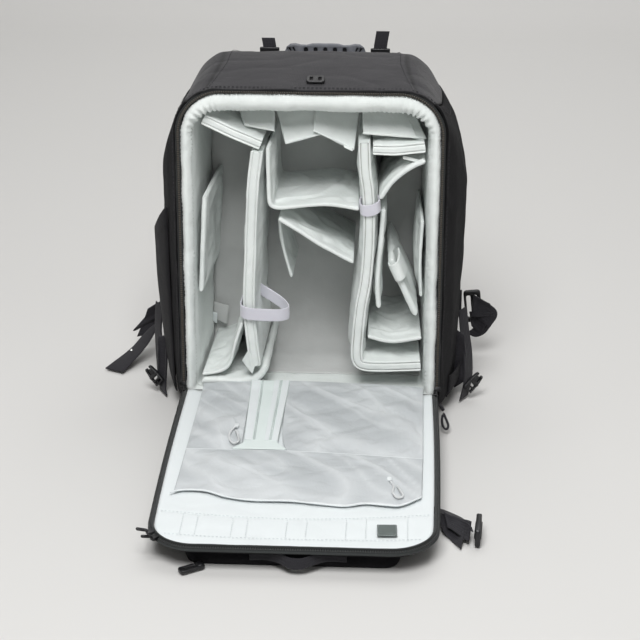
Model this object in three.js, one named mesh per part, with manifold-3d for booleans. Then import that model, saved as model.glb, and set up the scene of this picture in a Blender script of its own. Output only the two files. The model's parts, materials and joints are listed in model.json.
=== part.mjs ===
// A camera backpack standing open: the front panel lies forward on the floor and the padded,
// divided inside shows. Millimetres, +Z up, +X to the right, +Y from the opening to the harness.
// The origin is the middle of the base, on the floor.
import * as THREE from "three";
import Module from "manifold-3d";
import { mergeVertices } from "three/addons/utils/BufferGeometryUtils.js";

// Driving dimensions
const FRONT_Y = -95;
const BACK_Y = 95;
const WALL = 3;
const GAP = 0.4;
const HINGE_Z = 40;
const LEAN_BACK = Math.tan(THREE.MathUtils.degToRad(2.5));
const BASE_RADIUS = 28;
const SHOULDER_SEAM = 3.5;
const FLOOR_CLEAR = 0.5;
const SHELL_BACK_Y = BACK_Y + 1.3;
const OUTER_BACK_Y = SHELL_BACK_Y + WALL;
const SILL_Y = FRONT_Y - 2.5;

// The padded inside: a ring of four soft walls, closed at its back by a flat grey panel
const LINING_HALF = 151;
const LINING_TOP = 404.5;
const LINING_BOTTOM = 20;
const LINING_RADIUS = 50;
const LINING_BASE_RADIUS = 20;
const LINING_WALL = 13;
const LINING_BACK_Y = 62;
const LINING_BACK_IN = 7;
const LINING_BACK_DOWN = 12;
const LINING_BACK_RADIUS = 58;
const FLANGE_OUT = 4;
const FLANGE_UP = 1.9;
const FLANGE_DEPTH = 4;
const DIVIDER_FRONT_Y = -86;
const DIVIDER_BACK_Y = LINING_BACK_Y - GAP;
const PAD = 14;
const SHELF = 5;

// The front panel, opened through a right angle and lying on its own pocket
const LID_HALF = 147.5;
const LID_START = 6.5;
const LID_END = 360;
const LID_RADIUS = 44;
const LID_THICK = 8;
const LID_DROP = THREE.MathUtils.degToRad(1.5);
const BINDING_WIDTH = 6;
const BINDING_GAP = 1.1;
const BINDING_HEIGHT = 7;
const BINDING_BOW = 2;
const MESH_LIFT = 0.5;
const MESH_THICK = 1.2;

// Straps and hardware
const WEB = 2;
const BACK_PAD_Y = BACK_Y + 18;
const CORD_RADIUS = 1.2;

// The outer form: one row for each depth, from the opening to the harness
const bodySections = [
  { y: -95, half: 157, top: 408, shoulderX: 50, shoulderZ: 50, taper: 2 },
  { y: -62, half: 170, top: 412, shoulderX: 76, shoulderZ: 96, taper: 5 },
  { y: -15, half: 181, top: 416, shoulderX: 100, shoulderZ: 150, taper: 9 },
  { y: 35, half: 181, top: 416, shoulderX: 102, shoulderZ: 150, taper: 9 },
  { y: 72, half: 170, top: 406.5, shoulderX: 92, shoulderZ: 120, taper: 6 },
  { y: 95, half: 152, top: 398, shoulderX: 76, shoulderZ: 96, taper: 3 },
];

// Dividers, shelves and flaps that run from the opening back to the grey panel.
// Each row gives its profile seen from the front, as x and z of the middle of its thickness.
const dividers = [
  { name: "divider_left", thick: PAD, front: DIVIDER_FRONT_Y,
    path: [[-63, 330], [-67, 298], [-70, 249], [-72, 199], [-74, 148], [-72, 110], [-67, 68]] },
  { name: "divider_right", thick: PAD, front: DIVIDER_FRONT_Y,
    path: [[63, 344], [64, 312], [68, 282], [69, 227], [66, 177], [60, 139], [57, 100], [58, 76],
      [66, 63], [82, 61], [108, 62], [133.5, 64]] },
  { name: "divider_top_left", thick: 13, front: DIVIDER_FRONT_Y + 2,
    path: [[-125, 371], [-94, 356], [-58, 341]] },
  { name: "divider_top_right", thick: 13, front: DIVIDER_FRONT_Y + 3,
    path: [[72.5, 337], [100, 337], [133.5, 341]] },
  { name: "shelf_centre_upper", thick: SHELF, front: DIVIDER_FRONT_Y,
    path: [[-50, 338], [-49, 300], [-46, 277], [-36, 266], [-12, 268], [23, 270], [57, 265]] },
  { name: "shelf_centre_lower", thick: SHELF, front: DIVIDER_FRONT_Y + 4,
    path: [[-38, 250], [-12, 234], [11, 219], [29, 209], [51, 197]] },
  { name: "flap_centre", thick: 4, front: -40,
    path: [[-41, 236], [-36, 200], [-26, 162]] },
  { name: "divider_right_curved", thick: 6, front: DIVIDER_FRONT_Y + 4,
    path: [[134, 324], [116, 315], [95, 297], [82, 277]] },
  { name: "divider_right_slanted", thick: 8, front: DIVIDER_FRONT_Y + 6,
    path: [[95, 202], [108, 172], [127, 131]] },
  { name: "flap_right", thick: 6, front: DIVIDER_FRONT_Y + 10,
    path: [[86, 262], [84, 225], [80, 172], [82, 138]] },
  { name: "shelf_right_lower", thick: SHELF, front: DIVIDER_FRONT_Y + 4,
    path: [[69, 103], [97, 97], [134, 103]] },
  { name: "pad_left", thick: 6, front: DIVIDER_FRONT_Y + 6,
    path: [[-126, 276], [-129, 221], [-132.5, 156]] },
  { name: "pad_right", thick: 4, front: DIVIDER_FRONT_Y + 20,
    path: [[133, 246], [131, 190], [133, 150]] },
  { name: "shelf_left_lower", thick: 4, front: DIVIDER_FRONT_Y + 3,
    path: [[-132.5, 51], [-120, 54], [-105, 60], [-97, 69], [-91, 86], [-86, 106]] },
  { name: "divider_left_foot", thick: 9, front: DIVIDER_FRONT_Y,
    path: [[-133, 41.7], [-104, 41.7], [-80, 42.5], [-64, 48], [-53, 64]] },
];

// Fastening flaps that hang from the top wall: the tip's two corners, and how wide the flap starts
const topFlaps = [
  { name: "top_flap_1", left: -96, right: -53, tipLeft: [-72, -70, 358], tipRight: [-42, -70, 353] },
  { name: "top_flap_2", left: -48, right: 6, tipLeft: [-28, -70, 338], tipRight: [9, -70, 347] },
  { name: "top_flap_3", left: 12, right: 60, tipLeft: [16, -74, 352], tipRight: [54, -70, 332] },
  { name: "top_flap_4", left: 62, right: 94, tipLeft: [66, -76, 354], tipRight: [122, -74, 350] },
];

const group = new THREE.Group();
const materials = {
  shell: new THREE.MeshStandardMaterial({ color: 0x2c2b2f, roughness: 0.9, metalness: 0 }),
  lining: new THREE.MeshStandardMaterial({ color: 0xd9dfd9, roughness: 0.85, metalness: 0 }),
  grey: new THREE.MeshStandardMaterial({ color: 0x9a9a97, roughness: 0.9, metalness: 0 }),
  binding: new THREE.MeshStandardMaterial({ color: 0x4a4e4e, roughness: 0.8, metalness: 0 }),
  lid: new THREE.MeshStandardMaterial({ color: 0xecf1f0, roughness: 0.8, metalness: 0 }),
  mesh: new THREE.MeshStandardMaterial({ color: 0xc8cbcc, roughness: 0.9, metalness: 0 }),
  webbing: new THREE.MeshStandardMaterial({ color: 0x222226, roughness: 0.85, metalness: 0 }),
  plastic: new THREE.MeshStandardMaterial({ color: 0x1d1d20, roughness: 0.45, metalness: 0 }),
  handle: new THREE.MeshStandardMaterial({ color: 0x4b4d54, roughness: 0.6, metalness: 0 }),
  cord: new THREE.MeshStandardMaterial({ color: 0xf2f4f4, roughness: 0.8, metalness: 0 }),
};

const wasm = await Module();
wasm.setup();

// Booleans
function toSolid(geometry) {
  const bare = geometry.clone();
  bare.deleteAttribute("normal");
  bare.deleteAttribute("uv");
  const merged = mergeVertices(bare, 1e-4);
  return new wasm.Manifold(new wasm.Mesh({
    numProp: 3,
    vertProperties: new Float32Array(merged.attributes.position.array),
    triVerts: new Uint32Array(merged.index.array),
  }));
}

function fromSolid(solid) {
  const mesh = solid.getMesh();
  const geometry = new THREE.BufferGeometry();
  geometry.setAttribute("position", new THREE.BufferAttribute(new Float32Array(mesh.vertProperties), 3));
  geometry.setIndex(new THREE.BufferAttribute(new Uint32Array(mesh.triVerts), 1));
  geometry.computeVertexNormals();
  return geometry;
}

function joined(...geometries) {
  let solid = toSolid(geometries[0]);
  for (const next of geometries.slice(1)) {
    solid = solid.add(toSolid(next));
  }
  return fromSolid(solid);
}

function cut(geometry, ...tools) {
  let solid = toSolid(geometry);
  for (const tool of tools) {
    solid = solid.subtract(toSolid(tool));
  }
  return fromSolid(solid);
}

// Shapes
function meshFrom(points, faces) {
  const geometry = new THREE.BufferGeometry();
  geometry.setAttribute("position", new THREE.BufferAttribute(new Float32Array(points.flat()), 3));
  geometry.setIndex(faces.flat());
  geometry.computeVertexNormals();
  return geometry;
}

// A sheet of cloth or foam: point(u, v) gives its middle, and each face lies half a thickness from it
function sheet(point, stepsU, stepsV, thickness) {
  const step = 1e-3;
  const thick = typeof thickness === "function" ? thickness : () => thickness;
  const sides = [[], []];
  for (let i = 0; i <= stepsU; i += 1) {
    for (let j = 0; j <= stepsV; j += 1) {
      const u = i / stepsU;
      const v = j / stepsV;
      const alongU = point(Math.min(u + step, 1), v).sub(point(Math.max(u - step, 0), v));
      const alongV = point(u, Math.min(v + step, 1)).sub(point(u, Math.max(v - step, 0)));
      const normal = alongU.cross(alongV).normalize();
      const half = thick(u, v) / 2;
      sides[0].push(point(u, v).addScaledVector(normal, half).toArray());
      sides[1].push(point(u, v).addScaledVector(normal, -half).toArray());
    }
  }
  const row = stepsV + 1;
  const count = row * (stepsU + 1);
  const faces = [];
  const quad = (a, b, c, d) => faces.push([a, b, c], [a, c, d]);
  for (let i = 0; i < stepsU; i += 1) {
    for (let j = 0; j < stepsV; j += 1) {
      const a = i * row + j;
      quad(a, a + row, a + row + 1, a + 1);
      quad(count + a, count + a + 1, count + a + row + 1, count + a + row);
    }
  }
  for (let i = 0; i < stepsU; i += 1) {
    const a = i * row;
    quad(a, count + a, count + a + row, a + row);
    const b = a + stepsV;
    quad(b, b + row, count + b + row, count + b);
  }
  for (let j = 0; j < stepsV; j += 1) {
    const a = j;
    quad(a, a + 1, count + a + 1, count + a);
    const b = stepsU * row + j;
    quad(b, count + b, count + b + 1, b + 1);
  }
  return meshFrom([...sides[0], ...sides[1]], faces);
}

function curveThrough(points) {
  const stops = points.map((p) => new THREE.Vector3(...p));
  return new THREE.CatmullRomCurve3(stops, false, "centripetal");
}

// A solid through a few outlines of like points, closed by a flat fan at each end
function loft(rings) {
  const size = rings[0].length;
  const points = rings.flat().map((p) => p.toArray());
  const faces = [];
  for (let i = 0; i < rings.length - 1; i += 1) {
    for (let j = 0; j < size; j += 1) {
      const a = i * size + j;
      const b = i * size + ((j + 1) % size);
      faces.push([a, b, b + size], [a, b + size, a + size]);
    }
  }
  for (const [ringIndex, up] of [[0, false], [rings.length - 1, true]]) {
    const middle = new THREE.Vector3();
    rings[ringIndex].forEach((p) => middle.addScaledVector(p, 1 / size));
    const centre = points.push(middle.toArray()) - 1;
    for (let j = 0; j < size; j += 1) {
      const a = ringIndex * size + j;
      const b = ringIndex * size + ((j + 1) % size);
      faces.push(up ? [a, b, centre] : [b, a, centre]);
    }
  }
  return meshFrom(points, faces);
}

// A flat strap along a curve: across gives the direction of its width at each end of the curve
function strap(points, width, acrossStart, acrossEnd, steps, thickness = WEB) {
  const curve = curveThrough(points);
  const start = new THREE.Vector3(...acrossStart).normalize();
  const end = new THREE.Vector3(...acrossEnd).normalize();
  return sheet((u, v) => {
    const across = start.clone().lerp(end, u).normalize();
    return curve.getPoint(u).addScaledVector(across, (v - 0.5) * width);
  }, steps, 1, thickness);
}

// A profile swept round a closed rounded rectangle: each profile point is [inward, y, on the flange]
function roundedRing(formAt, arcSteps, profile) {
  const corners = [[1, 1, 0], [-1, 1, 90], [-1, -1, 180], [1, -1, 270]];
  const points = [];
  for (const [right, up, from] of corners) {
    for (let i = 0; i <= arcSteps; i += 1) {
      const angle = THREE.MathUtils.degToRad(from + (90 * i) / arcSteps);
      for (const [inward, y, onFlange] of profile) {
        const { half, bottom, top, radius, baseRadius } = formAt(y, onFlange);
        const full = up > 0 ? radius : baseRadius;
        const x = right * (half - full);
        const z = up > 0 ? top - full : bottom + full;
        const r = full - inward;
        points.push([x + r * Math.cos(angle), y, z + r * Math.sin(angle)]);
      }
    }
  }
  const loops = corners.length * (arcSteps + 1);
  const size = profile.length;
  const faces = [];
  for (let i = 0; i < loops; i += 1) {
    for (let j = 0; j < size; j += 1) {
      const a = i * size + j;
      const b = i * size + ((j + 1) % size);
      const c = ((i + 1) % loops) * size + j;
      const d = ((i + 1) % loops) * size + ((j + 1) % size);
      faces.push([a, c, d], [a, d, b]);
    }
  }
  return meshFrom(points, faces);
}

function roundedOutline(half, bottom, top, topRadiusX, topRadiusZ, baseRadius) {
  const shape = new THREE.Shape();
  const turn = Math.PI / 2;
  shape.moveTo(-half + baseRadius, bottom);
  shape.lineTo(half - baseRadius, bottom);
  shape.absarc(half - baseRadius, bottom + baseRadius, baseRadius, -turn, 0, false);
  shape.absellipse(half - topRadiusX, top - topRadiusZ, topRadiusX, topRadiusZ, 0, turn, false, 0);
  shape.absellipse(-half + topRadiusX, top - topRadiusZ, topRadiusX, topRadiusZ, turn, 2 * turn, false, 0);
  shape.absarc(-half + baseRadius, bottom + baseRadius, baseRadius, 2 * turn, 3 * turn, false);
  return shape;
}

// A shape drawn in x and z, made solid from y0 to y1
function uprightPlate(shape, y0, y1, curveSegments = 6) {
  const geometry = new THREE.ExtrudeGeometry(shape, { depth: y1 - y0, bevelEnabled: false, curveSegments });
  geometry.rotateX(Math.PI / 2);
  geometry.translate(0, y1, 0);
  return geometry;
}

function block(sizeX, sizeY, sizeZ, x, y, z) {
  const geometry = new THREE.BoxGeometry(sizeX, sizeY, sizeZ);
  geometry.translate(x, y, z);
  return geometry;
}

function roundCord(points, radius, steps) {
  const section = new THREE.Shape();
  section.absarc(0, 0, radius, 0, 2 * Math.PI, false);
  return new THREE.ExtrudeGeometry(section, {
    steps,
    curveSegments: 4,
    bevelEnabled: false,
    extrudePath: curveThrough(points),
  });
}

function add(name, geometry, material) {
  const mesh = new THREE.Mesh(geometry, material.clone());
  mesh.name = name;
  group.add(mesh);
  return mesh;
}

// The whole bag leans back a little on its base, and everything fixed to it leans with it
function leaned(geometry) {
  const position = geometry.attributes.position;
  for (let i = 0; i < position.count; i += 1) {
    position.setY(i, position.getY(i) + LEAN_BACK * (position.getZ(i) - HINGE_Z));
  }
  return geometry;
}

function addLeaned(name, geometry, material) {
  return add(name, leaned(geometry), material);
}

// Body form
function sectionAt(y, field) {
  const last = bodySections.length - 1;
  let i = 0;
  while (i < last - 1 && y > bodySections[i + 1].y) {
    i += 1;
  }
  const a = bodySections[Math.max(i - 1, 0)][field];
  const b = bodySections[i][field];
  const c = bodySections[i + 1][field];
  const d = bodySections[Math.min(i + 2, last)][field];
  const t = (y - bodySections[i].y) / (bodySections[i + 1].y - bodySections[i].y);
  const slopeB = (c - a) / 2;
  const slopeC = (d - b) / 2;
  const t2 = t * t;
  const t3 = t2 * t;
  return (2 * t3 - 3 * t2 + 1) * b + (t3 - 2 * t2 + t) * slopeB
    + (3 * t2 - 2 * t3) * c + (t3 - t2) * slopeC;
}

// Walks the outline at depth y: 0 to 1 base, 1 to 2 base corner, 2 to 3 side, 3 to 4 shoulder, 4 to 5 top
function bodyPoint(side, s, y) {
  const half = sectionAt(y, "half");
  const top = sectionAt(y, "top");
  const shoulderX = sectionAt(y, "shoulderX");
  const shoulderZ = sectionAt(y, "shoulderZ");
  const taper = sectionAt(y, "taper");
  const base = WALL / 2;
  const turn = Math.PI / 2;
  if (s <= 1) {
    return new THREE.Vector3(side * s * (half - taper - BASE_RADIUS), y, base);
  }
  if (s <= 2) {
    const angle = (s - 1) * turn;
    const x = half - taper - BASE_RADIUS + BASE_RADIUS * Math.sin(angle);
    return new THREE.Vector3(side * x, y, base + BASE_RADIUS * (1 - Math.cos(angle)));
  }
  if (s <= 3) {
    const low = base + BASE_RADIUS;
    const narrow = taper * Math.pow(3 - s, 2);
    return new THREE.Vector3(side * (half - narrow), y, low + (s - 2) * (top - shoulderZ - low));
  }
  if (s <= 4) {
    const angle = (s - 3) * turn;
    const x = half - shoulderX + shoulderX * Math.cos(angle);
    return new THREE.Vector3(side * x, y, top - shoulderZ + shoulderZ * Math.sin(angle));
  }
  return new THREE.Vector3(side * (5 - s) * (half - shoulderX), y, top);
}

const depthAt = (v) => FRONT_Y + v * (BACK_Y - FRONT_Y);

function makeShell() {
  const seam = SHOULDER_SEAM;
  const reach = 5 - seam;
  addLeaned("shell_top", sheet((u, v) => {
    const across = (u - 0.5) * 2 * reach;
    const side = across < 0 ? -1 : 1;
    return bodyPoint(side, 5 - Math.abs(across), depthAt(v));
  }, 18, 8, WALL), materials.shell);
  for (const [name, side] of [["shell_left", -1], ["shell_right", 1]]) {
    const from = 1 + 0.012;
    const to = seam - 0.006;
    addLeaned(name, sheet((u, v) => {
      const w = side > 0 ? 1 - v : v;
      return bodyPoint(side, from + u * (to - from), depthAt(w));
    }, 18, 8, WALL), materials.shell);
  }
  addLeaned("shell_base", sheet((u, v) => {
    const y = depthAt(v);
    const reachX = sectionAt(y, "half") - sectionAt(y, "taper") - BASE_RADIUS;
    return new THREE.Vector3((u - 0.5) * 2 * reachX, y, WALL / 2);
  }, 1, 8, WALL), materials.shell);
  const back = bodySections[bodySections.length - 1];
  const closing = roundedOutline(back.half + 1, FLOOR_CLEAR, back.top + 1,
    back.shoulderX, back.shoulderZ, BASE_RADIUS);
  addLeaned("shell_back", uprightPlate(closing, SHELL_BACK_Y, OUTER_BACK_Y), materials.shell);
  const sill = new THREE.Shape();
  const sillHalf = bodySections[0].half;
  const turn = Math.PI / 2;
  sill.moveTo(-sillHalf + BASE_RADIUS, FLOOR_CLEAR);
  sill.absarc(sillHalf - BASE_RADIUS, FLOOR_CLEAR + BASE_RADIUS, BASE_RADIUS, -turn, 0, false);
  sill.lineTo(sillHalf, HINGE_Z - 3);
  sill.lineTo(-sillHalf, HINGE_Z - 3);
  sill.absarc(-sillHalf + BASE_RADIUS, FLOOR_CLEAR + BASE_RADIUS, BASE_RADIUS, 2 * turn, 3 * turn, false);
  addLeaned("front_sill", uprightPlate(sill, SILL_Y - WALL, SILL_Y), materials.shell);
}

// The lining meets the outer walls at a flange just inside the opening
function liningAt(y, onFlange = 0) {
  const t = Math.max(0, (y - FRONT_Y) / (LINING_BACK_Y - FRONT_Y));
  return {
    half: LINING_HALF - LINING_BACK_IN * t + FLANGE_OUT * onFlange,
    bottom: LINING_BOTTOM,
    top: LINING_TOP - LINING_BACK_DOWN * t + FLANGE_UP * onFlange,
    radius: LINING_RADIUS + (LINING_BACK_RADIUS - LINING_RADIUS) * t + FLANGE_DEPTH * onFlange,
    baseRadius: LINING_BASE_RADIUS,
  };
}

// The inside narrows towards the back, and what stands in it narrows with it
function insideTaper(p) {
  const t = Math.max(0, (p.y - FRONT_Y) / (LINING_BACK_Y - FRONT_Y));
  const fullHalf = LINING_HALF - LINING_WALL;
  const fullHeight = LINING_TOP - LINING_WALL - LINING_BOTTOM;
  p.x *= 1 - (LINING_BACK_IN * t) / fullHalf;
  p.z -= (LINING_BACK_DOWN * t * (p.z - LINING_BOTTOM)) / fullHeight;
  return p;
}

function makeLining() {
  const wall = LINING_WALL;
  const flangeFront = FRONT_Y + 6;
  const flangeBack = flangeFront + FLANGE_DEPTH;
  const profile = [
    [0, LINING_BACK_Y, 0], [0, flangeBack + 1, 0], [0, flangeBack, 1], [0, flangeFront, 1],
    [0, flangeFront - 1, 0], [3, FRONT_Y, 0], [8, FRONT_Y - 2, 0], [13, FRONT_Y + 0.5, 0],
    [16.5, FRONT_Y + 6, 0], [wall + 1, FRONT_Y + 16, 0], [wall, LINING_BACK_Y, 0],
  ];
  addLeaned("lining_rim", roundedRing(liningAt, 6, profile), materials.lining);
  const end = liningAt(LINING_BACK_Y);
  const panel = roundedOutline(end.half, end.bottom, end.top, end.radius, end.radius, end.baseRadius);
  const from = LINING_BACK_Y + GAP;
  addLeaned("lining_back", uprightPlate(panel, from, from + 5), materials.grey);
}

function makeDividers() {
  for (const { name, thick, front, path } of dividers) {
    const curve = curveThrough(path.map(([x, z]) => [x, 0, z]));
    const steps = (path.length - 1) * 2;
    addLeaned(name, sheet((u, v) => {
      const p = curve.getPoint(u);
      p.y = DIVIDER_BACK_Y + v * (front - DIVIDER_BACK_Y);
      return insideTaper(p);
    }, steps, 1, thick), materials.lining);
  }
}

function makeTopFlaps() {
  const ceiling = LINING_TOP - LINING_WALL - GAP - 2.4;
  for (const { name, left, right, tipLeft, tipRight } of topFlaps) {
    const start = new THREE.CatmullRomCurve3([
      insideTaper(new THREE.Vector3(left, 50, ceiling)),
      insideTaper(new THREE.Vector3(left, 0, ceiling)),
      new THREE.Vector3(...tipLeft),
    ]);
    const end = new THREE.CatmullRomCurve3([
      insideTaper(new THREE.Vector3(right, 50, ceiling)),
      insideTaper(new THREE.Vector3(right, 0, ceiling)),
      new THREE.Vector3(...tipRight),
    ]);
    const along = (curve, u) => {
      if (u < 0.3) {
        return curve.points[0].clone().lerp(curve.points[1], u / 0.3);
      }
      const t = (u - 0.3) / 0.7;
      const p = curve.points[1].clone().lerp(curve.points[2], t);
      p.z += 10 * Math.sin(Math.PI * t) * (1 - t);
      return p;
    };
    addLeaned(name, sheet((u, v) => along(start, u).lerp(along(end, u), v), 8, 1, 3.5), materials.lining);
  }
}

// Straps that wrap the front edges of the two long dividers
function makeDividerLoops() {
  const wrap = (points, low, high) => {
    const curve = curveThrough(points.map(([x, y]) => [x, y, 0]));
    return sheet((u, v) => {
      const p = curve.getPoint(u);
      p.z = low(u) + v * (high(u) - low(u));
      return p;
    }, 20, 1, 1.6);
  };
  addLeaned("divider_loop_left", wrap(
    [[-82.6, -62], [-83, -84], [-78, -90], [-56, -92], [-34, -93], [-25, -88], [-26, -80], [-40, -76],
      [-64.9, -66]],
    () => 127, () => 142), materials.lining);
  addLeaned("divider_loop_right", wrap(
    [[59.5, -62], [59, -84], [62, -88.5], [74, -89], [80, -88], [80, -80], [77.4, -62]],
    () => 252, () => 268), materials.lining);
}

// A stretch pocket on the side: it swells from the side wall and is open along its top hem
function makeSidePockets() {
  const rows = [
    { name: "pocket_left", side: -1, from: 1.75, to: 2.78, near: -66, far: 66, swell: 10, slow: 1.3 },
    { name: "pocket_right", side: 1, from: 1.75, to: 2.06, near: -66, far: 66, swell: 6, slow: 1.5 },
  ];
  for (const { name, side, from, to, near, far, swell, slow } of rows) {
    addLeaned(name, sheet((u, v) => {
      const w = side > 0 ? 1 - v : v;
      const p = bodyPoint(side, from + u * (to - from), near + w * (far - near));
      const rise = Math.pow(Math.sin(Math.PI * v), 0.6);
      const up = Math.min(1, u * slow);
      p.x += side * (WALL + GAP + swell * rise * Math.sin((up * Math.PI) / 2));
      return p;
    }, 10, 10, 2), materials.shell);
  }
}

function makeTop() {
  const tab = new THREE.Shape();
  tab.moveTo(-10, -8);
  tab.lineTo(-4, -5);
  tab.lineTo(4, -5);
  tab.lineTo(10, -8);
  tab.lineTo(8, 8);
  tab.lineTo(-8, 8);
  const plate = new THREE.ExtrudeGeometry(tab, { depth: 2.5, bevelEnabled: false });
  const tabSolid = cut(plate, block(4, 6, 10, 0, 2, 0));
  tabSolid.rotateX(THREE.MathUtils.degToRad(9));
  tabSolid.translate(5, -70, 413);
  addLeaned("top_tab", tabSolid, materials.plastic);

  const arch = new THREE.Shape();
  arch.moveTo(-50, 0);
  arch.lineTo(-37, 0);
  arch.quadraticCurveTo(-35, 15, -22, 16);
  arch.lineTo(22, 16);
  arch.quadraticCurveTo(35, 15, 37, 0);
  arch.lineTo(50, 0);
  arch.lineTo(50, 27);
  arch.quadraticCurveTo(40, 37, 26, 35.5);
  arch.lineTo(-26, 35.5);
  arch.quadraticCurveTo(-40, 37, -50, 27);
  const holes = [-24, -12, 0, 12, 24].map((x) => block(4.5, 20, 7, x, 0, 27));
  const slots = [-39, 39].map((x) => block(3, 20, 10, x, 0, 26));
  const handle = cut(uprightPlate(arch, -2.5, 2.5, 4), ...holes, ...slots);
  handle.translate(8, OUTER_BACK_Y + GAP + 2.5, 374);
  addLeaned("carry_handle", handle, materials.handle);

  const webY = OUTER_BACK_Y + GAP + 3.2;
  for (const [side, x, sway, high] of [["left", -61, -2, 416], ["right", 76, 3, 426]]) {
    const body = block(24, 6, 9, x, OUTER_BACK_Y + GAP + 3, 400);
    const lock = cut(body, block(17.4, 2.6, 20, x, webY, 400));
    addLeaned(`ladder_lock_${side}`, lock, materials.plastic);
    const web = strap([[x, webY, 374], [x, webY, 390], [x, webY, 406], [x + sway, webY + 2, high]],
      16.4, [1, 0, 0], [1, 0, 0], 5, 1.8);
    addLeaned(`lifter_web_${side}`, web, materials.webbing);
  }
}

// The harness behind the bag
function makeHarness() {
  const padShape = roundedOutline(118, 34, 345, 40, 40, 30);
  addLeaned("back_pad", uprightPlate(padShape, OUTER_BACK_Y + GAP, BACK_PAD_Y), materials.shell);
  for (const [name, side] of [["shoulder_strap_left", -1], ["shoulder_strap_right", 1]]) {
    const curve = curveThrough([
      [side * 62, OUTER_BACK_Y + 5.4, 364], [side * 62, BACK_PAD_Y + 6.5, 346],
      [side * 72, BACK_PAD_Y + 9, 290],
      [side * 82, BACK_PAD_Y + 8, 200], [side * 84, BACK_PAD_Y + 6, 140], [side * 90, BACK_PAD_Y + 1.7, 96],
    ]);
    const narrow = (u) => Math.min(Math.max(u - 0.7, 0), 0.12) / 0.12;
    const width = (u) => 60 - 35 * narrow(u);
    const thick = (u) => 10 - 7.5 * narrow(u);
    addLeaned(name, sheet((u, v) => {
      const p = curve.getPoint(u);
      p.x += (v - 0.5) * width(u);
      return p;
    }, 18, 2, thick), materials.shell);
  }
  const wingY = BACK_PAD_Y + 3.6;
  addLeaned("hip_wing_left", strap(
    [[-60, wingY + GAP, 62], [-122, wingY + 1, 62], [-165, wingY - 7, 66], [-206, wingY - 12, 56],
      [-228, wingY - 18, 34]],
    36, [0, 0, 1], [0.86, 0, 0.5], 10, 7), materials.shell);
  addLeaned("hip_wing_right", strap(
    [[60, wingY + GAP, 66], [122, wingY + 1, 66], [150, wingY - 4, 70], [186, wingY - 8, 70]],
    34, [0, 0, 1], [0, 0, 1], 8, 7), materials.shell);
  addLeaned("hip_web_left", strap(
    [[-196, wingY - 14.9, 50], [-212, 86, 40], [-230, 62, 20], [-258, 24, 3.2]],
    27, [0.6, -0.2, 0.75], [0.9, -0.43, 0], 12, 2), materials.webbing);
  const frameOuter = block(22, 7, 44, 0, 0, 0);
  const buckle = cut(frameOuter, block(7, 20, 32, -4, 0, 0), block(3, 20, 32, 5, 0, 0));
  buckle.rotateY(THREE.MathUtils.degToRad(-6));
  buckle.translate(200.5, wingY - 8, 66);
  addLeaned("hip_buckle_right", buckle, materials.plastic);
  addLeaned("hip_web_right", strap(
    [[210.8, wingY - 8, 84], [224, wingY - 10, 76], [229, wingY - 12, 58], [220, wingY - 12, 44],
      [212, wingY - 12, 37]],
    25, [0, 1, 0], [0.2, 0.9, 0.3], 12, 2.4), materials.webbing);
}

// Compression straps that hang beside the base, each with its half of a side-release buckle
function makeSideStraps() {
  const rows = [
    { side: -1, name: "left", clipX: 198.5,
      path: [[-197, 24, 96], [-196.6, 6, 72], [-193.8, -10, 40], [-190, -26, 16], [-186, -38, 3]] },
    { side: 1, name: "right", clipX: 199.5,
      path: [[184.9, 30, 95], [187.5, 10, 76], [192, -10, 50], [192.5, -22, 22], [187.5, -34, 3]] },
  ];
  for (const { side, name, clipX, path } of rows) {
    const across = [-side * 0.5, -0.86, 0];
    addLeaned(`side_strap_${name}`, strap(path, 21, across, across, 10, 2), materials.webbing);
    const clip = cut(block(26, 6, 15, 0, 0, 0), block(9, 20, 8, 6, 0, 0));
    clip.rotateY(THREE.MathUtils.degToRad(side * -42));
    clip.rotateZ(THREE.MathUtils.degToRad(side * 28));
    clip.translate(side * clipX, -31.5, 24);
    addLeaned(`side_buckle_${name}`, clip, materials.plastic);
  }
}

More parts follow.
